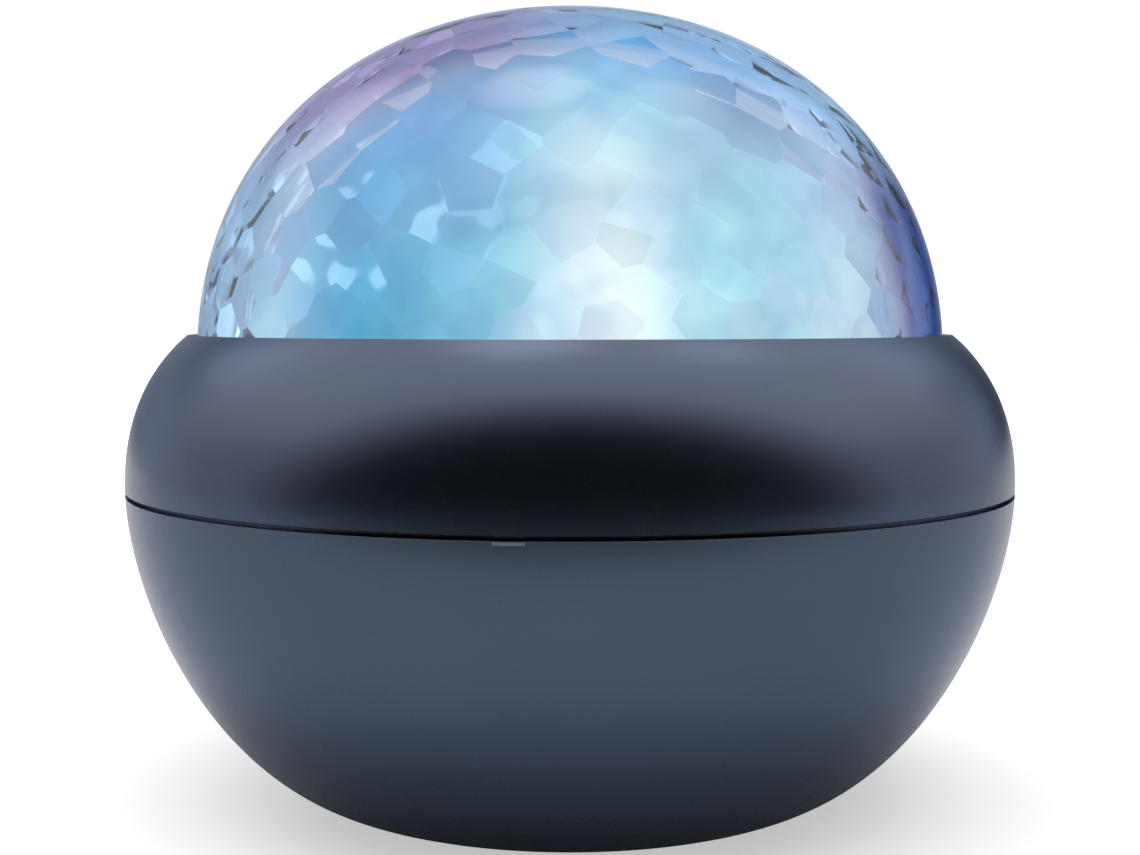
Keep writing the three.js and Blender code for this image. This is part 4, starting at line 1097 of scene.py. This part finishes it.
profile = [(flange_radius, dome_bottom), (flange_radius, flange_top), (dome_radius, flange_top)]
for i in range(dome_steps):
    turn = math.pi / 2 * i / dome_steps
    profile.append((
        dome_radius * math.cos(turn) ** (2 / dome_roundness),
        dome_widest + dome_height * math.sin(turn) ** (2 / dome_roundness),
    ))
profile.append((0, dome_widest + dome_height))
dome = turned("faceted_dome", profile)


def cut_off(place, facing):
    """Cuts the piece that is open for editing flat, and closes it there."""
    bpy.ops.mesh.select_all(action="SELECT")
    bpy.ops.mesh.bisect(plane_co=place, plane_no=facing, use_fill=True, clear_outer=True)


cavity_radius = dome_radius - dome_thickness
cavity_height = dome_height - dome_thickness
deselect()
bpy.ops.mesh.primitive_cube_add(size=4 * dome_radius, location=(0, 0, dome_widest))
cavity = bpy.context.object
bpy.ops.object.mode_set(mode="EDIT")
draw = random.Random(seed)
golden = math.pi * (3 - math.sqrt(5))
spacing = math.sqrt(4 * math.pi / facet_count)
for i in range(facet_count // 2 + facet_count // 20):
    z = 1 - (2 * i + 1) / facet_count
    ring = math.sqrt(1 - z * z)
    point = Vector((ring * math.cos(golden * i), ring * math.sin(golden * i), z))
    point += Vector([draw.uniform(-1, 1) * facet_wander * spacing for _ in range(3)])
    point.normalize()
    depth = draw.uniform(0, facet_depth)
    place = Vector((
        point.x * cavity_radius, point.y * cavity_radius, dome_widest + point.z * cavity_height,
    ))
    facing = Vector((
        point.x / cavity_radius, point.y / cavity_radius, point.z / cavity_height,
    )).normalized()
    cut_off(place - facing * depth, facing)
cut_off((0, 0, dome_widest - throat_overlap), (0, 0, -1))
bpy.ops.object.mode_set(mode="OBJECT")
bpy.ops.object.transform_apply(location=True, rotation=True, scale=True)
throat = rod(cavity_radius + throat_margin, dome_bottom - past, dome_widest, sides=turned_sides)
combine(dome, cavity, throat)

sky, aqua, haze = Vector((0.86, 0.93, 1.00)), Vector((0.84, 1.00, 0.98)), Vector((1.00, 0.92, 1.00))
haze_share = 0.16  # of the facets
facet_play = (0.72, 1.0)  # of a facet's tint
painted_sparks = ((0.97, (0.05, 0.12)), (0.6, (0.01, 0.04)))  # the draw past which a facet has a painted glint, and its range
picture_middle, foot_line = 570, 334  # the dome's middle and foot in the picture, in pixels
pixel_size = 0.135 * mm  # of the picture, on the dome
glints = [
    (385, 180, 0.30), (440, 185, 0.35), (400, 257, 0.35), (340, 245, 0.40), (290, 255, 0.35),
    (265, 312, 0.70), (315, 312, 0.75), (235, 285, 0.50), (510, 155, 0.12), (303, 121, 0.45),
    (355, 76, 0.40), (401, 67, 0.30), (445, 40, 0.35), (552, 20, 0.25), (228, 320, 0.50),
    (310, 180, 0.30), (903, 240, 0.25), (918, 290, 0.35), (480, 215, 0.15), (284, 144, 0.50),
    (266, 191, 0.50), (252, 202, 0.40), (243, 235, 0.50), (237, 262, 0.45), (871, 207, 0.35),
    (883, 248, 0.40), (906, 310, 0.30),
]  # where a facet shows a glint in the picture, and how strongly its painted glint is set


def glint_place(across, down):
    """Where the straight line through a point of the picture meets the dome's front, roughly."""
    aside, rise = across - picture_middle, foot_line - down
    return Vector((aside * pixel_size, 0, dome_widest + rise * pixel_size))


def facet_look():
    """A facet's tint and the strength of its painted glint, drawn by lot."""
    tint = sky.lerp(aqua, draw.random())
    if draw.random() < haze_share:
        tint = haze
    tint = tint * draw.uniform(*facet_play)
    chance = draw.random()
    for start, strength in painted_sparks:
        if chance > start:
            return tint, draw.uniform(*strength)
    return tint, 0


smooth(dome, 5)
tint_values, spark_values, inside_faces = [], [], []
for face in dome.data.polygons:
    x, y, z = face.center - Vector((0, 0, dome_widest))
    reach = Vector((x / cavity_radius, y / cavity_radius, z / cavity_height)).length
    inside = reach < inside_reach and z > inside_start
    tint, spark = facet_look() if inside else (Vector((1, 1, 1)), 0)
    tint_values.extend((*tint, 1))
    spark_values.append(spark)
    inside_faces.append(int(inside))
fronts = [face for face in dome.data.polygons if face.center.y < 0 and inside_faces[face.index]]
for across, down, spark in glints:
    spot = glint_place(across, down)
    nearest = min(fronts, key=lambda face: math.hypot(face.center.x - spot.x, face.center.z - spot.z))
    spark_values[nearest.index] = spark
dome.data.attributes.new("facet_tint", "FLOAT_COLOR", "FACE")
dome.data.attributes.new("facet_painted_glint", "FLOAT", "FACE")
dome.data.attributes["facet_tint"].data.foreach_set("color", tint_values)
dome.data.attributes["facet_painted_glint"].data.foreach_set("value", spark_values)

# The outside's tint grows towards the rim. This is partly a longer path through tinted plastic and partly
# painted rim light and shade, which differ by side.
clear_tint = (0.36, 0.49, 0.72, 1)
painted_lilac_rim, painted_pale_rim = (0.22, 0.11, 0.32, 1), (0.18, 0.48, 0.84, 1)  # painted rim light, up on the left and on the right
painted_sky_rim, painted_pink_rim = (0.16, 0.33, 0.54, 1), (0.15, 0.14, 0.34, 1)  # painted rim light, low on the left and on the right
painted_dark_rim = (0.001, 0.008, 0.13, 1)  # painted dark shade on the outermost line, low on the right
right_start, right_fade = (28 * mm, 40 * mm), (78 * mm, 94 * mm)  # across and up, where the right side is
high_start, pale_start = (80 * mm, 94 * mm), (-12 * mm, 8 * mm)  # up, and across from the lilac on
edge_start, dark_rim_start = (0.42, 0.60), (0.53, 0.62)  # how far the surface turns away
dome_relief = 0.004 * mm

crystal, tree, shader = new_material("crystal_outside", **glass)
place = node(tree, "ShaderNodeTexCoord").outputs["Object"]
axes = node(tree, "ShaderNodeSeparateXYZ")
put(tree, place, axes.inputs[0])
right, up = axes.outputs["X"], axes.outputs["Z"]
right_side = eased(tree, right, right_start)
right_side = worked(tree, "MULTIPLY", right_side, eased(tree, up, right_fade, (1, 0)))
low = blended(tree, right_side, painted_sky_rim, painted_pink_rim)
high = blended(tree, eased(tree, right, pale_start), painted_lilac_rim, painted_pale_rim)
edge = blended(tree, eased(tree, up, high_start), low, high)
facing = node(tree, "ShaderNodeLayerWeight", Blend=0.5).outputs["Facing"]
painted_dark_share = worked(tree, "MULTIPLY", right_side, eased(tree, facing, dark_rim_start))
edge = blended(tree, eased(tree, facing, edge_start), clear_tint, edge)
put(tree, blended(tree, painted_dark_share, edge, painted_dark_rim), shader.inputs["Base Color"])
wiped = noise(tree, place, 90, detail=4)
put(tree, eased(tree, wiped, (0.3, 0.8), (0.01, 0.045)), shader.inputs["Roughness"])
raised(tree, shader, wiped, dome_relief)

faceted, tree, shader = new_material("crystal_facets", Emission_Strength=1, **glass)
tint = node(tree, "ShaderNodeAttribute", attribute_name="facet_tint")
spark = node(tree, "ShaderNodeAttribute", attribute_name="facet_painted_glint")
place = node(tree, "ShaderNodeTexCoord").outputs["Object"]
flow = noise(tree, place, 160, detail=2)
put(tree, eased(tree, flow, (0.3, 0.8), (0.01, 0.06)), shader.inputs["Roughness"])
tinted = blended(tree, flow, tint.outputs["Color"], (0.92, 0.97, 1, 1), "MULTIPLY")
put(tree, tinted, shader.inputs["Base Color"])
# Painted glints: emission on some facets stands in for the light that they catch.
painted_glint_mask = eased(tree, noise(tree, place, 260, detail=0), (0.46, 0.56))
painted_glint_mask = worked(tree, "MAXIMUM", painted_glint_mask, eased(tree, spark.outputs["Fac"], (0.6, 0.7)))
painted_glint_mask = worked(tree, "MULTIPLY", painted_glint_mask, spark.outputs["Fac"])
put(tree, blended(tree, painted_glint_mask, (0, 0, 0, 1), (0.8, 0.95, 1, 1)), shader.inputs["Emission Color"])
dome.data.materials.clear()
dome.data.materials.append(crystal)
dome.data.materials.append(faceted)
dome.data.polygons.foreach_set("material_index", inside_faces)
bpy.context.scene.cycles.max_bounces = 24  # light turns many times inside the faceted wall
bpy.context.scene.cycles.transmission_bounces = 24
bpy.context.scene.cycles.glossy_bounces = 16
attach(dome, "turntable")
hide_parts("crystal_dome")


# Upper shell. The round shoulder, moulded and lacquered like the bowl. Its rolled lip closes over
# the dome's flange, and its rim has a rebate that the bowl's tongue fits, with four screw bosses.
lip_radius = 51 * mm
lip_round = 0.7 * mm
rebate_gap = 0.2 * mm
boss_ring, boss_radius, boss_top = 55.017 * mm, 2.117 * mm, 55.381 * mm
boss_pilot_radius, boss_roof = 1.3 * mm, 1.5 * mm
rebate_lift = 0.3 * mm  # of the rebate over the tongue
shoulder_steps, lip_steps, under_steps = 28, 4, 16


def shoulder_turn(radius, inset=0):
    """The turn at which the shoulder reaches a radius."""
    share = (radius - body_radius + shoulder_reach) / (shoulder_reach - inset)
    return math.acos(min(1, share) ** (shoulder_roundness / 2))


lip_turn = shoulder_turn(lip_radius + lip_round)
lip_level = skin_point(lip_turn)[1]
shell_edge = seam_level + seam_gap / 2
rebate = tongue_outside + rebate_gap
rebate_top = tongue_top + rebate_lift
edge_point = skin_point(skin_turn(shell_edge))
profile = [(edge_point[0] - seam_round, shell_edge)]
profile += skin_curve(skin_turn(shell_edge + seam_round), lip_turn, shoulder_steps)
for i in range(1, lip_steps + 1):
    turn = math.pi / 2 * i / lip_steps
    profile.append((
        lip_radius + lip_round * (1 - math.sin(turn)), lip_level - lip_round * (1 - math.cos(turn)),
    ))
profile += skin_curve(shoulder_turn(lip_radius, wall), skin_turn(rebate_top, wall), under_steps, wall)
profile += [(rebate, rebate_top), (rebate, shell_edge), profile[0]]
upper = turned("upper_shell_skin", profile)
deck_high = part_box("slide_ring")[0].z
for quarter in range(4):
    turn = math.pi / 4 + quarter * math.pi / 2
    x, y = boss_ring * math.cos(turn), boss_ring * math.sin(turn)
    combine(upper, rod(boss_radius, deck_high, boss_top, x, y), operation="UNION")
    combine(upper, rod(boss_pilot_radius, deck_high - past, boss_top - boss_roof, x, y, sides=24))
smooth(upper)
upper.data.materials.clear()
upper.data.materials.append(slate)
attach(upper, "base")
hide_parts("upper_shell")


# The size of what shows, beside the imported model's
dressed_low, dressed_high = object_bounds()
sizes = {"cad": [list(cad_low), list(cad_high)], "dressed": [list(dressed_low), list(dressed_high)]}
